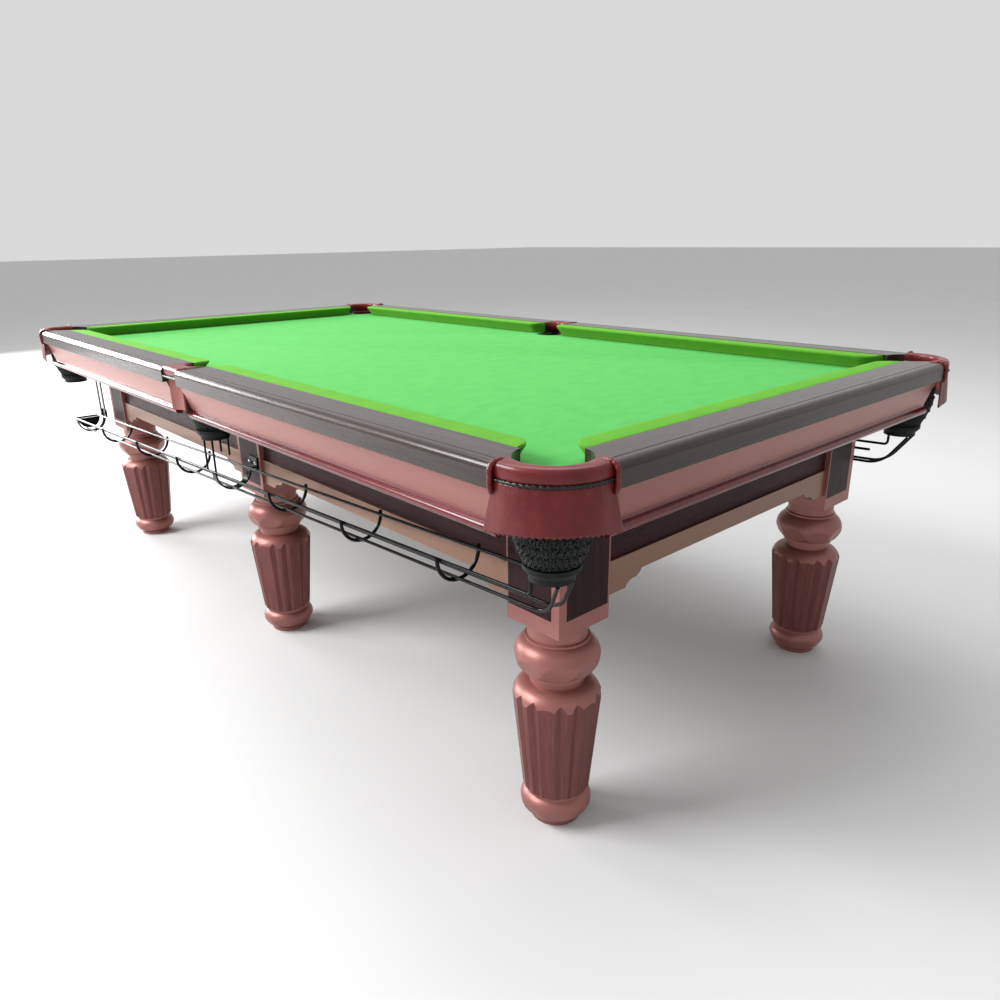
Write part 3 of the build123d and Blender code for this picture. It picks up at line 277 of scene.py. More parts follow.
def felt(name, base, shade, bright):
    """Short-napped wool cloth: fine fibres, a slight mottle and a soft sheen."""
    cloth = Finish(name, Roughness=0.92, Specular_IOR_Level=0.2)
    cloth.set("Sheen Weight", 0.35)
    cloth.set("Sheen Roughness", 0.45)
    cloth.set("Sheen Tint", bright)
    fibres = cloth.noise(1500, 4, (1, 0.55, 1), 0.7)
    mottle = cloth.noise(26, 4, (1, 0.6, 1))
    colour = cloth.mix(cloth.span(mottle, 0.35, 0.65), shade, base)
    colour = cloth.mix(cloth.span(fibres, 0.45, 0.7, 0, 0.5), colour, bright)
    cloth.set("Base Color", colour)
    cloth.bump(fibres, 0.0004, 0.55)
    return cloth


def leather(name, base, dark, light):
    """Red hide: small cells, creases, and lighter where it is rubbed."""
    hide = Finish(name, Coat_Weight=0.3, Coat_Roughness=0.13, Specular_IOR_Level=0.25)
    cells = hide.cells(620)
    creases = hide.noise(95, 5, (1, 1, 1), 0.65, 0.6)
    patches = hide.noise(22, 3)
    colour = hide.mix(hide.span(patches, 0.35, 0.68), dark, base)
    colour = hide.mix(hide.span(creases, 0.55, 0.75, 0, 0.4), colour, light)
    hide.set("Base Color", hide.mix(hide.span(cells, 0.35, 0.75, 0, 0.5), colour, dark))
    hide.set("Roughness", hide.span(creases, 0.3, 0.7, 0.31, 0.50))
    hide.bump(cells, 0.00035, 0.55)
    hide.bump(creases, 0.0006, 0.4)
    return hide


def black_wire():
    """Black plastic-dipped steel with small runs and scuffs."""
    wire = Finish("track wire black", Specular_IOR_Level=0.14)
    scuffs = wire.noise(160, 5, (0.25, 1, 1), 0.7)
    black, worn = (0.004, 0.005, 0.005), (0.03, 0.03, 0.033)
    wire.set("Base Color", wire.mix(wire.span(scuffs, 0.6, 0.78, 0, 0.7), black, worn))
    wire.set("Roughness", wire.span(scuffs, 0.35, 0.75, 0.10, 0.22))
    wire.bump(wire.noise(260, 2), 0.0003, 0.4)
    return wire


def black_rubber():
    """Moulded rubber with fine rings and a little dust."""
    rubber = Finish("ring rubber", Specular_IOR_Level=0.18)
    dust = rubber.noise(70, 5, (1, 1, 1), 0.7)
    black, dusty = (0.005, 0.007, 0.007), (0.022, 0.030, 0.031)
    rubber.set("Base Color", rubber.mix(rubber.span(dust, 0.5, 0.75, 0, 0.8), black, dusty))
    rubber.set("Roughness", rubber.span(dust, 0.3, 0.7, 0.38, 0.62))
    rubber.bump(rubber.bands(330, "Z", 0.4), 0.0002, 0.5)
    return rubber


def net_cord():
    """Twisted, glossy black cord with some fluff."""
    cord = Finish("net cord black", Specular_IOR_Level=0.45)
    lay = cord.bands(700, "DIAGONAL", 1.5, 2, 2)
    fluff = cord.noise(900, 3)
    black, fluffy = (0.003, 0.005, 0.004), (0.018, 0.028, 0.024)
    cord.set("Base Color", cord.mix(cord.span(fluff, 0.45, 0.75, 0, 0.8), black, fluffy))
    cord.set("Roughness", cord.span(fluff, 0.3, 0.7, 0.16, 0.4))
    cord.bump(lay, 0.0005, 0.7)
    return cord


def metal(name, colour, roughness, scratch):
    """Turned metal, darker in its scratches."""
    steel = Finish(name, Metallic=1.0)
    marks = steel.noise(240, 4, (1, 0.2, 1), 0.7)
    in_marks = tuple(c * scratch for c in colour)
    steel.set("Base Color", steel.mix(steel.span(marks, 0.5, 0.8, 0, 0.6), colour, in_marks))
    steel.set("Roughness", steel.span(marks, 0.3, 0.7, roughness, roughness + 0.2))
    steel.bump(marks, 0.0001, 0.4)
    return steel


def slate_stone():
    """Blue-grey slate in thin layers."""
    stone = Finish("slate", Specular_IOR_Level=0.35)
    sheets = stone.noise(12, 5, (1, 1, 14), 0.6)
    grit = stone.noise(600, 3)
    colour = stone.mix(stone.span(sheets, 0.35, 0.7), (0.045, 0.05, 0.055), (0.11, 0.115, 0.12))
    stone.set("Base Color", stone.mix(stone.span(grit, 0.5, 0.8, 0, 0.5), colour, (0.17, 0.17, 0.165)))
    stone.set("Roughness", stone.span(grit, 0.3, 0.7, 0.55, 0.8))
    stone.bump(grit, 0.0003, 0.5)
    return stone


def raw_timber():
    """Plain sawn timber of the hidden frame."""
    timber = Finish("frame timber", Specular_IOR_Level=0.3)
    rings = timber.bands(22, "Z", 6, 4, 1.4, (0.08, 0.6, 1))
    pores = timber.noise(500, 3, (0.05, 1, 1), 0.6)
    colour = timber.mix(rings, (0.30, 0.17, 0.085), (0.46, 0.29, 0.155))
    timber.set("Base Color", timber.mix(timber.span(pores, 0.5, 0.8, 0, 0.5), colour, (0.20, 0.10, 0.05)))
    timber.set("Roughness", timber.span(pores, 0.3, 0.7, 0.55, 0.75))
    timber.bump(pores, 0.0003, 0.5)
    return timber


# Colours: a finish's base where it has one, then its dark and its light.
ROSE, ROSE_DARK, ROSE_LIGHT = (0.30, 0.115, 0.098), (0.25, 0.092, 0.078), (0.52, 0.27, 0.22)
FASCIA, FASCIA_DARK = (0.33, 0.125, 0.105), (0.29, 0.108, 0.090)
TAN, TAN_DARK, TAN_LIGHT = (0.24, 0.125, 0.080), (0.20, 0.100, 0.063), (0.42, 0.25, 0.17)
# Painted shade on the legs' fluted body: its tone and its darker streaks.
FLUTE_SHADE, FLUTE_SHADE_DARK = (0.170, 0.046, 0.040), (0.110, 0.027, 0.024)
CAP_DARK, CAP_LIGHT = (0.018, 0.011, 0.0095), (0.042, 0.026, 0.022)
BEAD_DARK, BEAD_LIGHT = (0.085, 0.006, 0.010), (0.16, 0.012, 0.019)
INLAY_DARK, INLAY_LIGHT = (0.012, 0.003, 0.004), (0.032, 0.007, 0.009)
APRON_DARK, APRON_LIGHT = (0.010, 0.0025, 0.004), (0.075, 0.012, 0.020)
LEATHER_RED, LEATHER_DARK, LEATHER_LIGHT = (0.150, 0.009, 0.012), (0.100, 0.005, 0.007), (0.23, 0.035, 0.036)
PIPING, PIPING_DARK, PIPING_LIGHT = (0.012, 0.006, 0.006), (0.006, 0.003, 0.003), (0.04, 0.018, 0.016)
BED, BED_DARK, BED_LIGHT = (0.060, 0.31, 0.062), (0.052, 0.275, 0.054), (0.11, 0.42, 0.11)
CUSHION, CUSHION_DARK, CUSHION_LIGHT = (0.070, 0.25, 0.014), (0.058, 0.22, 0.012), (0.13, 0.36, 0.04)
CHROME, STEEL, BRASS = (0.75, 0.75, 0.76), (0.45, 0.45, 0.46), (0.75, 0.52, 0.22)

leg_finish = leg_lacquer().material
foot_finish = rose_lacquer("foot paint", ROSE, ROSE_DARK, ROSE_LIGHT).material
fascia_finish = rose_lacquer(
    "fascia lacquer", FASCIA, FASCIA_DARK, ROSE_LIGHT, (0.08, 0.08, 1),
).material
lower_rail_finish = rose_lacquer(
    "lower rail lacquer", TAN, TAN_DARK, TAN_LIGHT, (0.06, 0.06, 1),
).material
bead_finish = wood_lacquer("bead lacquer", "X", BEAD_DARK, BEAD_LIGHT, 0.16, 0.3, 0.35).material
cap_long_finish = wood_lacquer("cap wood long", "X", CAP_DARK, CAP_LIGHT, 0.2, 0.25, 0.25).material
cap_end_finish = wood_lacquer("cap wood end", "Y", CAP_DARK, CAP_LIGHT, 0.2, 0.25, 0.25).material
inlay_finish = wood_lacquer("inlay wood", "Z", INLAY_DARK, INLAY_LIGHT, 0.34, 0.0, 0.12).material
apron_finish = ribbed_wood("apron wood", APRON_DARK, APRON_LIGHT).material
bed_felt = felt("bed felt", BED, BED_DARK, BED_LIGHT).material
cushion_felt = felt("cushion felt", CUSHION, CUSHION_DARK, CUSHION_LIGHT).material
hide = leather("pocket leather", LEATHER_RED, LEATHER_DARK, LEATHER_LIGHT).material
dark_hide = leather("piping leather", PIPING, PIPING_DARK, PIPING_LIGHT).material
wire_finish = black_wire().material
rubber_finish = black_rubber().material
net_finish = net_cord().material
chrome_finish = metal("screw chrome", CHROME, 0.12, 0.7).material
steel_finish = metal("bolt steel", STEEL, 0.3, 0.6).material
brass_finish = metal("insert brass", BRASS, 0.25, 0.7).material
slate_finish = slate_stone().material
timber_finish = raw_timber().material


# Mesh helpers -------------------------------------------------------------------
def new_piece(name, vertices, faces, finish):
    """A mesh object that rides on the table, with the given finish."""
    mesh = bpy.data.meshes.new(name)
    mesh.from_pydata(vertices, [], faces)
    mesh.validate()
    mesh.polygons.foreach_set("use_smooth", [True] * len(mesh.polygons))
    mesh.materials.append(finish)
    piece = bpy.data.objects.new(name, mesh)
    bpy.context.scene.collection.objects.link(piece)
    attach(piece, "table")
    return piece


def skin(rows):
    """Vertices and faces over a row of closed sections, capped at both ends."""
    width = len(rows[0])
    vertices = [point for row in rows for point in row]
    faces = []
    for i in range(len(rows) - 1):
        here, there = i * width, (i + 1) * width
        for j in range(width):
            k = (j + 1) % width
            faces.append((here + j, here + k, there + k, there + j))
    faces.append(tuple(reversed(range(width))))
    faces.append(tuple(range((len(rows) - 1) * width, len(rows) * width)))
    return vertices, faces


def facing_out(vertices, faces):
    """The same faces, turned if the closed surface is inside out."""
    volume = 0.0
    for face in faces:
        first = Vector(vertices[face[0]])
        for j in range(1, len(face) - 1):
            volume += first.dot(Vector(vertices[face[j]]).cross(Vector(vertices[face[j + 1]])))
    return faces if volume > 0 else [tuple(reversed(face)) for face in faces]


def joined(parts):
    """One vertex and face list from several."""
    vertices, faces = [], []
    for part_vertices, part_faces in parts:
        start = len(vertices)
        vertices += part_vertices
        faces += [tuple(start + j for j in face) for face in part_faces]
    return vertices, faces


def tube(path, radius, sides=8, section=None):
    """Closed tube along points; section(step, angle) scales its radius."""
    path = [Vector(p) for p in path]
    side = None
    rows = []
    for i, point in enumerate(path):
        ahead = (path[min(i + 1, len(path) - 1)] - path[max(i - 1, 0)]).normalized()
        if side is None:
            side = ahead.orthogonal().normalized()
        side = (side - ahead * side.dot(ahead)).normalized()
        up = ahead.cross(side)
        row = []
        for j in range(sides):
            angle = 2 * pi * j / sides
            reach = radius * (section(i, angle) if section else 1)
            row.append(tuple(point + side * (reach * cos(angle)) + up * (reach * sin(angle))))
        rows.append(row)
    vertices, faces = skin(rows)
    return vertices, facing_out(vertices, faces)


def rounded(points, radii, step):
    """A plan path along points with rounded corners: (place, unit tangent) pairs."""
    points = [Vector(p) for p in points]
    path = []

    def straight(start, end):
        run = end - start
        count = max(1, ceil(run.length / step))
        for i in range(count):
            path.append((start + run * (i / count), run.normalized()))

    start = points[0]
    for i, radius in enumerate(radii, 1):
        back = (points[i - 1] - points[i]).normalized()
        forth = (points[i + 1] - points[i]).normalized()
        half = acos(max(-1, min(1, back.dot(forth)))) / 2
        cut = radius / (sin(half) / cos(half))
        centre = points[i] + (back + forth).normalized() * (radius / sin(half))
        first, last = points[i] + back * cut, points[i] + forth * cut
        straight(start, first)
        spoke = first - centre
        sweep = pi - 2 * half
        turn = 1 if (-back).cross(forth) > 0 else -1
        count = max(6, ceil(sweep / radians(7)))
        for k in range(count):
            angle = turn * sweep * k / count
            arm = Vector((
                spoke.x * cos(angle) - spoke.y * sin(angle), spoke.x * sin(angle) + spoke.y * cos(angle),
            ))
            path.append((centre + arm, Vector((-arm.y, arm.x)).normalized() * turn))
        start = last
    straight(start, points[-1])
    path.append((points[-1], (points[-1] - start).normalized()))
    return path


# Cushions -----------------------------------------------------------------------
NOSE_ROUND = 0.0022
CAP_GAP = 0.0005            # cushion ends from the cap
PATH_STEP = 0.05            # longest straight step along a nose
PINCH = 0.0002              # least depth of a jaw's end


def rail_point(kind, side, along, depth, height):
    """World point from a place along a rail and a depth inside its outer face."""
    if kind == "long":
        return (along, side * (HALF_WIDTH - depth), height)
    return (side * (HALF_LENGTH - depth), along, height)


def cushion_path(kind, half):
    """Plan line of a cushion's nose, from cap to cap, as (along, depth)."""
    back = CAP_DEPTH + CAP_GAP
    if kind == "long":
        end = half * (HALF_LENGTH - CORNER_JAW_END)
        corners = [(end, back), (end, NOSE_DEPTH)]
        corners += [(half * MIDDLE_JAW_NOSE, NOSE_DEPTH), (half * MIDDLE_JAW_BACK, back)]
        return rounded(corners, [CORNER_JAW_RADIUS, MIDDLE_JAW_RADIUS], PATH_STEP)
    end = HALF_WIDTH - CORNER_JAW_END
    corners = [(-end, back), (-end, NOSE_DEPTH), (end, NOSE_DEPTH), (end, back)]
    return rounded(corners, [CORNER_JAW_RADIUS, CORNER_JAW_RADIUS], PATH_STEP)


def make_cushion(name, kind, side, half):
    """Rubber cushion in cloth: level top, small rounded nose and an undercut face."""
    rows = []
    for place, tangent in cushion_path(kind, half):
        # Inwards from the nose, towards the cap.
        inwards = Vector((-tangent.y, tangent.x))
        middle = 0 if kind == "end" else half * (HALF_LENGTH / 2)
        if inwards.dot(Vector((middle, CAP_DEPTH)) - place) < 0:
            inwards = -inwards
        room = max(place.y - CAP_DEPTH, 0.0004)
        back_share = min(1, room / (NOSE_DEPTH - CAP_DEPTH) + 0.25)
        undercut = NOSE_UNDERCUT * back_share
        ripple = 0.00025 * noise.noise(Vector((place.x * 9, place.y * 9, side * 3.7)))
        top = CUSHION_TOP + ripple
        section = [(place.x, CAP_DEPTH, CLOTH_TOP + FACE_GAP), (place.x, CAP_DEPTH, CAP_TOP - 0.0045)]
        section.append((place.x, CAP_DEPTH + min(0.0008, room * 0.3), CAP_TOP - 0.0012))
        for share in (0.12, 0.5, 0.85):
            crown = 0.0006 * sin(pi * share)
            blend = (CAP_TOP - 0.0006 - top) * (1 - share) ** 2
            section.append((place.x, CAP_DEPTH + room * share, top + blend + crown))
        for angle in (80, 45, 10):
            reach = NOSE_ROUND * (1 - sin(radians(90 - angle)))
            point = place + inwards * min(reach, room * 0.9)
            section.append((point.x, point.y, top - NOSE_ROUND * (1 - sin(radians(angle)))))
        section.append((place.x, place.y, top - NOSE_HEIGHT))
        for share in (0.06, 0.35, 0.7, 1.0):
            drop = (CUSHION_TOP - NOSE_HEIGHT) - (CLOTH_TOP + 0.0035)
            sag = 0.0012 * sin(pi * share)
            point = place + inwards * (undercut * share + sag)
            section.append((point.x, max(point.y, CAP_DEPTH + PINCH), top - NOSE_HEIGHT - drop * share))
        point = place + inwards * (undercut + 0.001)
        section.append((point.x, max(point.y, CAP_DEPTH + PINCH), CLOTH_TOP + FACE_GAP))
        rows.append([rail_point(kind, side, *p) for p in section])
    vertices, faces = skin(rows)
    faces = facing_out(vertices, faces)
    piece = new_piece(f"cushion_cover_{name}", vertices, faces, cushion_felt)
    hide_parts(f"cushion_{name}")


for name, (kind, side, half) in CAPS.items():
    make_cushion(name, kind, side, half)


# Bed cloth ----------------------------------------------------------------------
CLOTH_ARC_STEPS = 36        # round each pocket
# Distance inside the slate's edge and height above the cloth's top, down its turned edge.
CLOTH_LEVELS = (
    (0.0075, 0.0), (0.0032, -0.0003), (0.0012, -0.0012), (0.0002, -0.003), (-0.0004, -0.006),
    (-0.0006, -0.022),
)


def bed_edge():
    """Plan loop of the cloth, anticlockwise, with its six pocket cut-outs."""
    y_end = HALF_WIDTH - SLATE_MARGIN
    slant = CORNER_DROP_RADIUS * sqrt(0.5)
    loop = []

    def corner(sx, sy):
        centre = Vector((sx * (HALF_LENGTH - CORNER_INSET), sy * (HALF_WIDTH - CORNER_INSET)))
        run = CORNER_INSET - SLATE_MARGIN - slant
        on_end = [centre + Vector((sx * run, sy * run)) + Vector((sx * slant, -sy * slant))]
        on_side = [centre + Vector((sx * run, sy * run)) + Vector((-sx * slant, sy * slant))]
        arc = []
        start = atan2(-sy, sx)
        for k in range(CLOTH_ARC_STEPS + 1):
            angle = start - sx * sy * pi * k / CLOTH_ARC_STEPS
            arc.append(centre + Vector((cos(angle), sin(angle))) * CORNER_DROP_RADIUS)
        points = on_end + arc + on_side
        return points if sx * sy > 0 else points[::-1]

    def middle(sy):
        centre = Vector((0, sy * (HALF_WIDTH - MIDDLE_INSET)))
        points = [Vector((MIDDLE_DROP_RADIUS, sy * y_end))]
        for k in range(CLOTH_ARC_STEPS + 1):
            angle = -sy * pi * k / CLOTH_ARC_STEPS
            points.append(centre + Vector((cos(angle), sin(angle))) * MIDDLE_DROP_RADIUS)
        points.append(Vector((-MIDDLE_DROP_RADIUS, sy * y_end)))
        return points if sy > 0 else points[::-1]

    for sx, sy in ((1, -1), (1, 1), (0, 1), (-1, 1), (-1, -1), (0, -1)):
        loop += corner(sx, sy) if sx else middle(sy)
    return loop


def make_bed_cloth():
    """Wool cloth stretched over the slates and turned down into every pocket."""
    loop = bed_edge()
    count = len(loop)
    inwards = []
    for i, point in enumerate(loop):
        run = (loop[(i + 1) % count] - loop[i - 1]).normalized()
        inwards.append(Vector((-run.y, run.x)))
    vertices, faces = [], []
    for inset, drop in CLOTH_LEVELS:
        vertices += [(*(point + normal * inset), CLOTH_TOP + drop) for point, normal in zip(loop, inwards)]
    faces.append(tuple(range(count)))
    for level in range(len(CLOTH_LEVELS) - 1):
        for i in range(count):
            j = (i + 1) % count
            here, there = level * count, (level + 1) * count
            faces.append((here + i, there + i, there + j, here + j))
    piece = new_piece("bed_cloth_stretched", vertices, faces, bed_felt)
    if piece.data.polygons[0].normal.z < 0:
        piece.data.flip_normals()
    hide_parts("bed_cloth")


make_bed_cloth()


# Pocket leathers ----------------------------------------------------------------
SEAM_DROP = 0.0275          # piping below the leather's top
SEAM_GAP = 0.0035           # seam to the skirt's top
RING_ROUND = 0.009
LEATHER_THICKNESS = 0.0028
PIPING_RADIUS = 0.0029
BINDING_RADIUS = 0.0044
WELT_RADIUS = 0.0040
LEATHER_STATIONS = 150
TEETH = 25                  # pinked points along a skirt's foot
SKIRT_SAG = 0.011           # its ends hang this much lower than its middle


def corner_line(inset, end):
    """Outer line of a corner leather: (end-face, long-face) distances and normals."""
    centre = LEATHER_INSET + LEATHER_CORNER_RADIUS
    radius = centre - inset
    straight = max(end - centre, 0)
    quarter = radius * pi / 2
    total = 2 * straight + quarter
    line = []
    for i in range(LEATHER_STATIONS + 1):
        run = total * i / LEATHER_STATIONS
        if run < straight:
            line.append((Vector((end - run, inset)), Vector((0, -1))))
        elif run < straight + quarter:
            angle = (run - straight) / radius
            spoke = Vector((-sin(angle), -cos(angle)))
            line.append((Vector((centre, centre)) + spoke * radius, spoke))
        else:
            line.append((Vector((inset, centre + run - straight - quarter)), Vector((-1, 0))))
    return line


def mouth_line(end):
    """Edge of a corner mouth, matched station by station to the outer line."""
    centre = Vector((CORNER_INSET, CORNER_INSET))
    reach = end - CORNER_INSET
    half = atan2(sqrt(CORNER_MOUTH_RADIUS**2 - reach**2), reach)
    first = -half
    sweep = 2 * (-3 * pi / 4 - first)
    line = []
    for i in range(LEATHER_STATIONS + 1):
        angle = first + sweep * i / LEATHER_STATIONS
        line.append(centre + Vector((cos(angle), sin(angle))) * CORNER_MOUTH_RADIUS)
    return line


def corner_world(sx, sy, point, height):
    return (sx * (HALF_LENGTH - point.x), sy * (HALF_WIDTH - point.y), height)


def make_corner_leather(name, sx, sy):
    """Padded leather ring with a flared, pinked skirt hanging from its seam."""
    ring_end = CAP_END - 0.0008
    seam = LEATHER_TOP - SEAM_DROP
    skirt_height = seam - SEAM_GAP - SKIRT_FOOT
    mouth = mouth_line(ring_end)
    seed = Vector((sx * 5.3, sy * 2.9, 0))

    def skirt_level(share):
        """Offset, end and height of the skirt at a share of its way down."""
        offset = 0.0008 + 0.0075 * share**1.5 + 0.0012 * sin(pi * share)
        return offset, ring_end - 0.001 + 0.0155 * share**0.9, seam - SEAM_GAP - skirt_height * share

    outer = []
    for angle in (90, 70, 50, 30, 12, 0):
        back = RING_ROUND * (1 - cos(radians(angle)))
        outer.append((-back, ring_end, LEATHER_TOP - RING_ROUND * (1 - sin(radians(angle)))))
    outer += [
        (0.0006, ring_end, LEATHER_TOP - 0.014), (0.0008, ring_end, LEATHER_TOP - 0.019),
        (0.0002, ring_end, LEATHER_TOP - 0.0235), (-0.0016, ring_end, seam + 0.0015),
        (-0.0022, ring_end, seam - 0.0005), (-0.0006, ring_end - 0.0008, seam - 0.0025),
    ]
    shares = (0.0, 0.04, 0.1, 0.2, 0.32, 0.45, 0.58, 0.7, 0.8, 0.88, 0.95, 1.0)
    outer += [skirt_level(share) for share in shares]
    inner_side = []
    for share in (1.0, 0.8, 0.5, 0.2):
        offset, end, height = skirt_level(share)
        inner_side.append((offset - LEATHER_THICKNESS, end - 0.0004, height))
    inner_side.append((-0.009, ring_end, seam - 0.006))
    lines = [corner_line(LEATHER_INSET - offset, end) for offset, end, _ in outer + inner_side]
    rows = []
    for i in range(LEATHER_STATIONS + 1):
        row = []
        rim, edge = mouth[i], lines[0][i][0]
        across = edge - rim
        row.append(corner_world(sx, sy, rim, seam - 0.006))
        row.append(corner_world(sx, sy, rim, LEATHER_TOP - 0.0065))
        for share, drop in ((0.03, 0.0030), (0.09, 0.0012), (0.22, 0.0001), (0.5, -0.0009), (0.8, -0.0005)):
            row.append(corner_world(sx, sy, rim + across * share, LEATHER_TOP - drop))
        for k, (offset, end, height) in enumerate(outer + inner_side):
            point, normal = lines[k][i]
            below = seam - height
            spot = Vector((point.x * 60, point.y * 60, height * 14)) + seed
            push = 0.0006 * noise.noise(spot * 0.55)
            if below > 0.002:
                folds = noise.noise(Vector((point.x * 150, point.y * 150, 7.1)) + seed)
                push += 0.0011 * folds * exp(-below / 0.014)
                waves = noise.noise(Vector((point.x * 26, point.y * 26, 1.7)) + seed)
                push += 0.0016 * waves * below / skirt_height
            if k >= len(outer):
                push *= 0.9
            sideways = 2 * i / LEATHER_STATIONS - 1
            lift = -SKIRT_SAG * sideways**2 * max(below, 0) / skirt_height
            if k in (len(outer) - 1, len(outer)):
                phase = TEETH * i / LEATHER_STATIONS
                ragged = noise.noise(Vector((point.x * 40, point.y * 40, 3.3)) + seed)
                lift += 0.0036 * (abs(2 * (phase % 1) - 1) - 0.5) + 0.0016 * ragged
            row.append(corner_world(sx, sy, point + normal * push, height + lift))
        rows.append(row)
    vertices, faces = skin(rows)
    piece = new_piece(f"leather_{name}", vertices, facing_out(vertices, faces), hide)
    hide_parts(f"pocket_leather_{name}")

    def twist(step, angle):
        lumps = noise.noise(Vector((step * 0.5, sx, sy)))
        return 1 + 0.2 * cos(2 * (angle - step * 0.42)) + 0.08 * lumps

    # Twisted dark piping lies in the seam.
    line = corner_line(LEATHER_INSET - 0.0004, ring_end - 0.0012)
    path = []
    for i, (point, normal) in enumerate(line):
        wander = 0.0007 * noise.noise(Vector((i * 0.16, sx * 3, sy * 7)))
        path.append(corner_world(sx, sy, point + normal * wander, seam + wander))
    vertices, faces = tube(path, PIPING_RADIUS, 12, twist)
    new_piece(f"piping_{name}", vertices, faces, dark_hide)


def make_bindings(name, sx, sy):
    """Rolled leather strips over the two cap ends beside a corner leather."""
    parts = []
    for on_long in (True, False):
        line = [(0.030, CAP_TOP + 0.0006), (0.022, CAP_TOP + 0.0012)]
        for angle in range(90, -1, -10):
            reach = CAP_ROUND + 0.0018
            across, up = reach * cos(radians(angle)), reach * sin(radians(angle))
            line.append((CAP_ROUND - across, CAP_TOP - CAP_ROUND + up))
        line += [(-0.0018, CAP_TOP - 0.0205), (-0.0016, CAP_TOP - 0.0275), (-0.0018, CAP_TOP - 0.0345)]
        line += [(-0.0012, CAP_FOOT + 0.0015), (0.0008, CAP_FOOT - 0.0025), (0.0050, CAP_FOOT - 0.0045)]
        dense = []
        for first, second in zip(line, line[1:]):
            for share in (0, 0.25, 0.5, 0.75):
                dense.append(tuple(a + (b - a) * share for a, b in zip(first, second)))
        dense.append(line[-1])
        path = []
        for i, (depth, height) in enumerate(dense):
            along = CAP_END - 0.0022 + 0.0006 * sin(i * 0.5)
            point = Vector((along, depth)) if on_long else Vector((depth, along))
            path.append(corner_world(sx, sy, point, height))
        last = len(path) - 1

        def ribs(step, angle, last=last):
            """Lightly ribbed, and drawn in at both ends."""
            return (1 + 0.05 * sin(step * 1.7)) * min(1, 0.35 + min(step, last - step) * 0.22)

        parts.append(tube(path, BINDING_RADIUS, 14, ribs))
    vertices, faces = joined(parts)
    new_piece(f"cap_bindings_{name}", vertices, faces, hide)


def make_middle_leather(name, sy):
    """Small padded bridge between two caps, with a darker welt at its foot."""
    half = MIDDLE_JAW_BACK + FACE_GAP
    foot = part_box(f"pocket_leather_{name}")[0].z
    count = 48
    rows = []
    welt = []
    for i in range(count + 1):
        x = half * (2 * i / count - 1)
        rim = MIDDLE_INSET - sqrt(MIDDLE_MOUTH_RADIUS**2 - x * x)
        pinch = 0.0008 * noise.noise(Vector((x * 90, sy * 3.1, 0)))
        section = [(rim, foot + 0.001), (rim, LEATHER_TOP - 0.0065), (rim - 0.0015, LEATHER_TOP - 0.0028)]
        section += [(rim - 0.0045, LEATHER_TOP - 0.0010)]
        edge = LEATHER_INSET + RING_ROUND
        for share, rise in ((0.25, 0.0003), (0.6, 0.0008)):
            section.append((rim + (edge - rim) * share, LEATHER_TOP + rise))
        for angle in (90, 65, 40, 18, 0):
            back = RING_ROUND * (1 - cos(radians(angle)))
            section.append((LEATHER_INSET + back, LEATHER_TOP - RING_ROUND * (1 - sin(radians(angle)))))
        section += [(LEATHER_INSET - 0.0006, LEATHER_TOP - 0.015), (LEATHER_INSET, LEATHER_TOP - 0.021)]
        section += [(LEATHER_INSET + 0.0018 + pinch, foot + 0.009), (LEATHER_INSET + 0.002, foot + 0.001)]
        rows.append([(x, sy * (HALF_WIDTH - depth), height) for depth, height in section])
        welt.append((x, sy * (HALF_WIDTH - LEATHER_INSET + 0.0002 + pinch), foot + 0.0055))
    vertices, faces = skin(rows)
    piece = new_piece(f"leather_{name}", vertices, facing_out(vertices, faces), hide)
    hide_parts(f"pocket_leather_{name}")

    def lumpy(step, angle):
        return 1 + 0.08 * sin(step * 0.9)

    vertices, faces = tube(welt, WELT_RADIUS, 12, lumpy)
    new_piece(f"welt_{name}", vertices, faces, dark_hide)


for name, (sx, sy) in SIDES.items():
    if sx:
        make_corner_leather(name, sx, sy)
        make_bindings(name, sx, sy)
    else:
        make_middle_leather(name, sy)


# Pocket nets --------------------------------------------------------------------
NET_STRANDS = 32
NET_STEPS = 30
NET_TWIST = 1.15            # how far a strand winds round on its way down, radians
CORD_RADIUS = 0.0024
CURLS = 620                 # loose loops of cord standing off a net
CURL_RADIUS = 0.0010
CURL_LEAN = 0.11            # turn round the net along one loop, radians
CURL_DROP = 0.06            # share of the net's height that one loop spans
KNOT_RADIUS = 0.0031
KNOT_LIFT = 0.0012          # knots and loops stand this far off the strands
KNOT_ROWS = 9
GOLDEN_ANGLE = pi * (3 - sqrt(5))


def net_radius(share, top_radius, foot_radius):
    """Radius of the hanging net: nearly upright, then drawn in to its ring."""
    belly = 1 - max(0, (share - 0.22) / 0.78) ** 1.9
    return foot_radius + (top_radius - foot_radius) * belly


def knot(centre, radius, seed):
    """Small lumpy ball of cord."""
    rows = []
    for i in range(1, 5):
        polar = pi * i / 5
        row = []
        for j in range(6):
            angle = 2 * pi * j / 6 + seed
            spoke = Vector((sin(polar) * cos(angle), sin(polar) * sin(angle), cos(polar)))
            row.append(tuple(centre + spoke * radius * (1 + 0.18 * sin(3 * angle + 2 * polar))))
        rows.append(row)
    vertices, faces = skin(rows)
    return vertices, facing_out(vertices, faces)


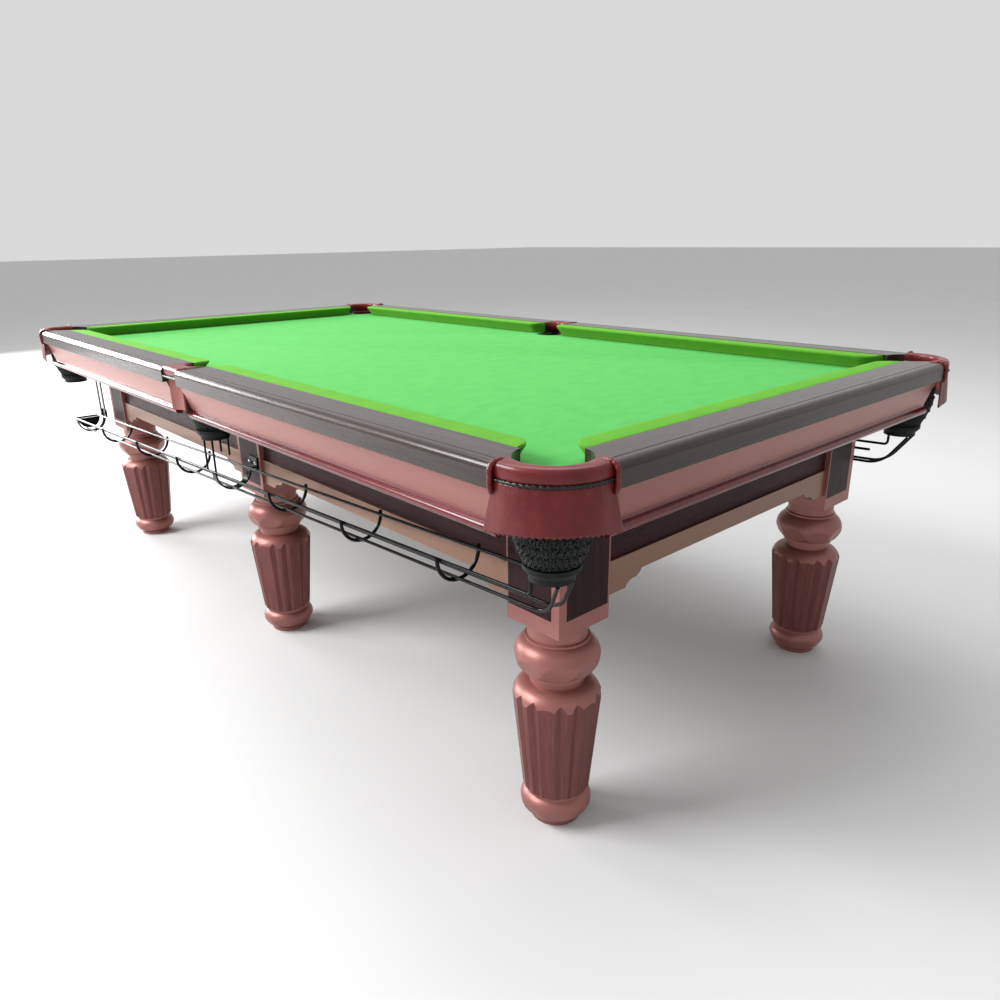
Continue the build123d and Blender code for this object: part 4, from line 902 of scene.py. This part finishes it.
def make_net(name, sx, sy):
    """Knotted net: strands wound both ways, knots where they cross, and loose loops."""
    low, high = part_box(f"pocket_net_{name}")
    centre = Vector(((low.x + high.x) / 2, (low.y + high.y) / 2, 0))
    top_radius = (high.x - low.x) / 2 - CORD_RADIUS
    drop = high.z - low.z

    def on_net(angle, share, lift=0.0):
        swell = 0.0016 * noise.noise(Vector((cos(angle) * 2, sin(angle) * 2, share * 3 + sx + 3 * sy)))
        radius = net_radius(share, top_radius, NET_NECK_RADIUS) + lift + swell
        return centre + Vector((cos(angle) * radius, sin(angle) * radius, high.z - drop * share))

    parts = []
    for way in (-1, 1):
        for i in range(NET_STRANDS):
            start = 2 * pi * (i + (0.25 if way > 0 else 0)) / NET_STRANDS
            path = []
            for k in range(NET_STEPS + 1):
                share = k / NET_STEPS
                wave = 0.0009 * way * cos(KNOT_ROWS * 2 * pi * share)
                path.append(on_net(start + way * NET_TWIST * share, share, wave))
            parts.append(tube(path, CORD_RADIUS, 6))
    spacing = pi / NET_STRANDS / NET_TWIST
    row = 0
    while (row + 0.5) * spacing / 2 < 0.97:
        share = (row + 0.5) * spacing / 2
        for i in range(NET_STRANDS):
            angle = 2 * pi * (i + 0.125) / NET_STRANDS + (row % 2) * pi / NET_STRANDS
            if share > 0.25:
                parts.append(knot(on_net(angle, share, KNOT_LIFT), KNOT_RADIUS, i * 1.3 + row))
        row += 1
    for i in range(CURLS):
        angle, share = i * GOLDEN_ANGLE, 0.08 + 0.86 * (i * GOLDEN_ANGLE % 1)
        lean = CURL_LEAN * sin(2.3 * i + sx)
        rise = 0.0030 + 0.0012 * sin(i)
        path = []
        for step in (0, 0.25, 0.5, 0.75, 1):
            lift = KNOT_LIFT + rise * sin(pi * step)
            path.append(on_net(angle + lean * step, share + CURL_DROP * step, lift))
        parts.append(tube(path, CURL_RADIUS, 4))
    vertices, faces = joined(parts)
    piece = new_piece(f"net_{name}", vertices, faces, net_finish)
    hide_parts(f"pocket_net_{name}")


for name, (sx, sy) in SIDES.items():
    make_net(name, sx, sy)


# Finishes of the CAD pieces -----------------------------------------------------
FINISHES = {
    "leg_inserts": brass_finish, "leg_inlays": inlay_finish, "frame_beams": timber_finish,
    "cross_beams": timber_finish, "apron_panels": apron_finish, "lower_rails": lower_rail_finish,
    "fascias": fascia_finish, "bead_mouldings": bead_finish, "middle_pocket_panels": fascia_finish,
    "pocket_rings": rubber_finish, "pocket_prongs": wire_finish, "ball_track_front": wire_finish,
    "ball_track_back": wire_finish, "track_hoops": wire_finish, "track_brackets": wire_finish,
    "track_hangers": wire_finish, "track_ends": wire_finish, "track_screws": chrome_finish,
    "rail_bolts": steel_finish,
}
STARTS = {
    "leg_f": leg_finish, "leg_b": leg_finish, "levelling": foot_finish, "slate": slate_finish,
    "cap_rail_front": cap_long_finish, "cap_rail_back": cap_long_finish,
    "cap_rail_left": cap_end_finish, "cap_rail_right": cap_end_finish,
}
for name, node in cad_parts.items():
    finish = FINISHES.get(name)
    for start, other in STARTS.items():
        if finish is None and name.startswith(start):
            finish = other
    if finish is not None:
        node.data.materials.clear()
        node.data.materials.append(finish)


# Studio -------------------------------------------------------------------------
FLOOR_REACH = 60
FLOOR_DROP = 0.0005         # under the feet
WORLD_STRENGTH = 0.7


def make_floor():
    """Pale matt floor out to the horizon."""
    paint = Finish("studio floor", Roughness=0.9, Specular_IOR_Level=0.1)
    cloud = paint.noise(1.5, 2)
    paint.set("Base Color", paint.mix(cloud, (0.58, 0.58, 0.58), (0.62, 0.62, 0.62)))
    mesh = bpy.data.meshes.new("floor")
    corners = [(FLOOR_REACH * x, FLOOR_REACH * y, 0) for x, y in ((-1, -1), (1, -1), (1, 1), (-1, 1))]
    mesh.from_pydata(corners, [], [(0, 1, 2, 3)])
    mesh.materials.append(paint.material)
    floor = bpy.data.objects.new("floor", mesh)
    floor.location.z = -FLOOR_DROP
    bpy.context.scene.collection.objects.link(floor)


def make_light(name, place, target, size, power):
    """Soft white rectangle of light, aimed at a target."""
    lamp = bpy.data.lights.new(name, "AREA")
    lamp.shape = "RECTANGLE"
    lamp.size, lamp.size_y = size
    lamp.energy = power
    light = bpy.data.objects.new(name, lamp)
    light.location = place
    light.rotation_euler = (Vector(target) - Vector(place)).to_track_quat("-Z", "Y").to_euler()
    bpy.context.scene.collection.objects.link(light)


make_floor()
world = bpy.data.worlds.new("studio")
world.use_nodes = True
world.node_tree.nodes["Background"].inputs["Color"].default_value = (1, 1, 1, 1)
world.node_tree.nodes["Background"].inputs["Strength"].default_value = WORLD_STRENGTH
bpy.context.scene.world = world
make_light("key", (-2.4, -4.4, 4.2), (0, -0.4, 0.6), (3.4, 2.6), 520)
make_light("window", (-7.5, -1.6, 2.1), (0, -0.4, 0.6), (3.6, 2.2), 560)
make_light("top", (-0.5, 0.8, 4.8), (0, 0, 0.8), (4.5, 3.0), 150)

# Camera -------------------------------------------------------------------------
CAMERA_PLACE = (2.118, -1.518, 1.164)
CAMERA_YAW, CAMERA_PITCH, CAMERA_ROLL = 2.406, -0.326, -0.014
CAMERA_LENS = 28.1

camera_data = bpy.data.cameras.new("camera")
camera_data.sensor_width = 36
camera_data.lens = CAMERA_LENS
camera = bpy.data.objects.new("camera", camera_data)
ahead = Vector((
    cos(CAMERA_PITCH) * cos(CAMERA_YAW), cos(CAMERA_PITCH) * sin(CAMERA_YAW), sin(CAMERA_PITCH),
))
level_right = ahead.cross(Vector((0, 0, 1))).normalized()
level_up = level_right.cross(ahead)
right = level_right * cos(CAMERA_ROLL) + level_up * sin(CAMERA_ROLL)
up = level_up * cos(CAMERA_ROLL) - level_right * sin(CAMERA_ROLL)
camera.matrix_world = Matrix.Translation(CAMERA_PLACE) @ Matrix((right, up, -ahead)).transposed().to_4x4()
bpy.context.scene.collection.objects.link(camera)
bpy.context.scene.camera = camera
bpy.context.scene.view_settings.view_transform = "Standard"
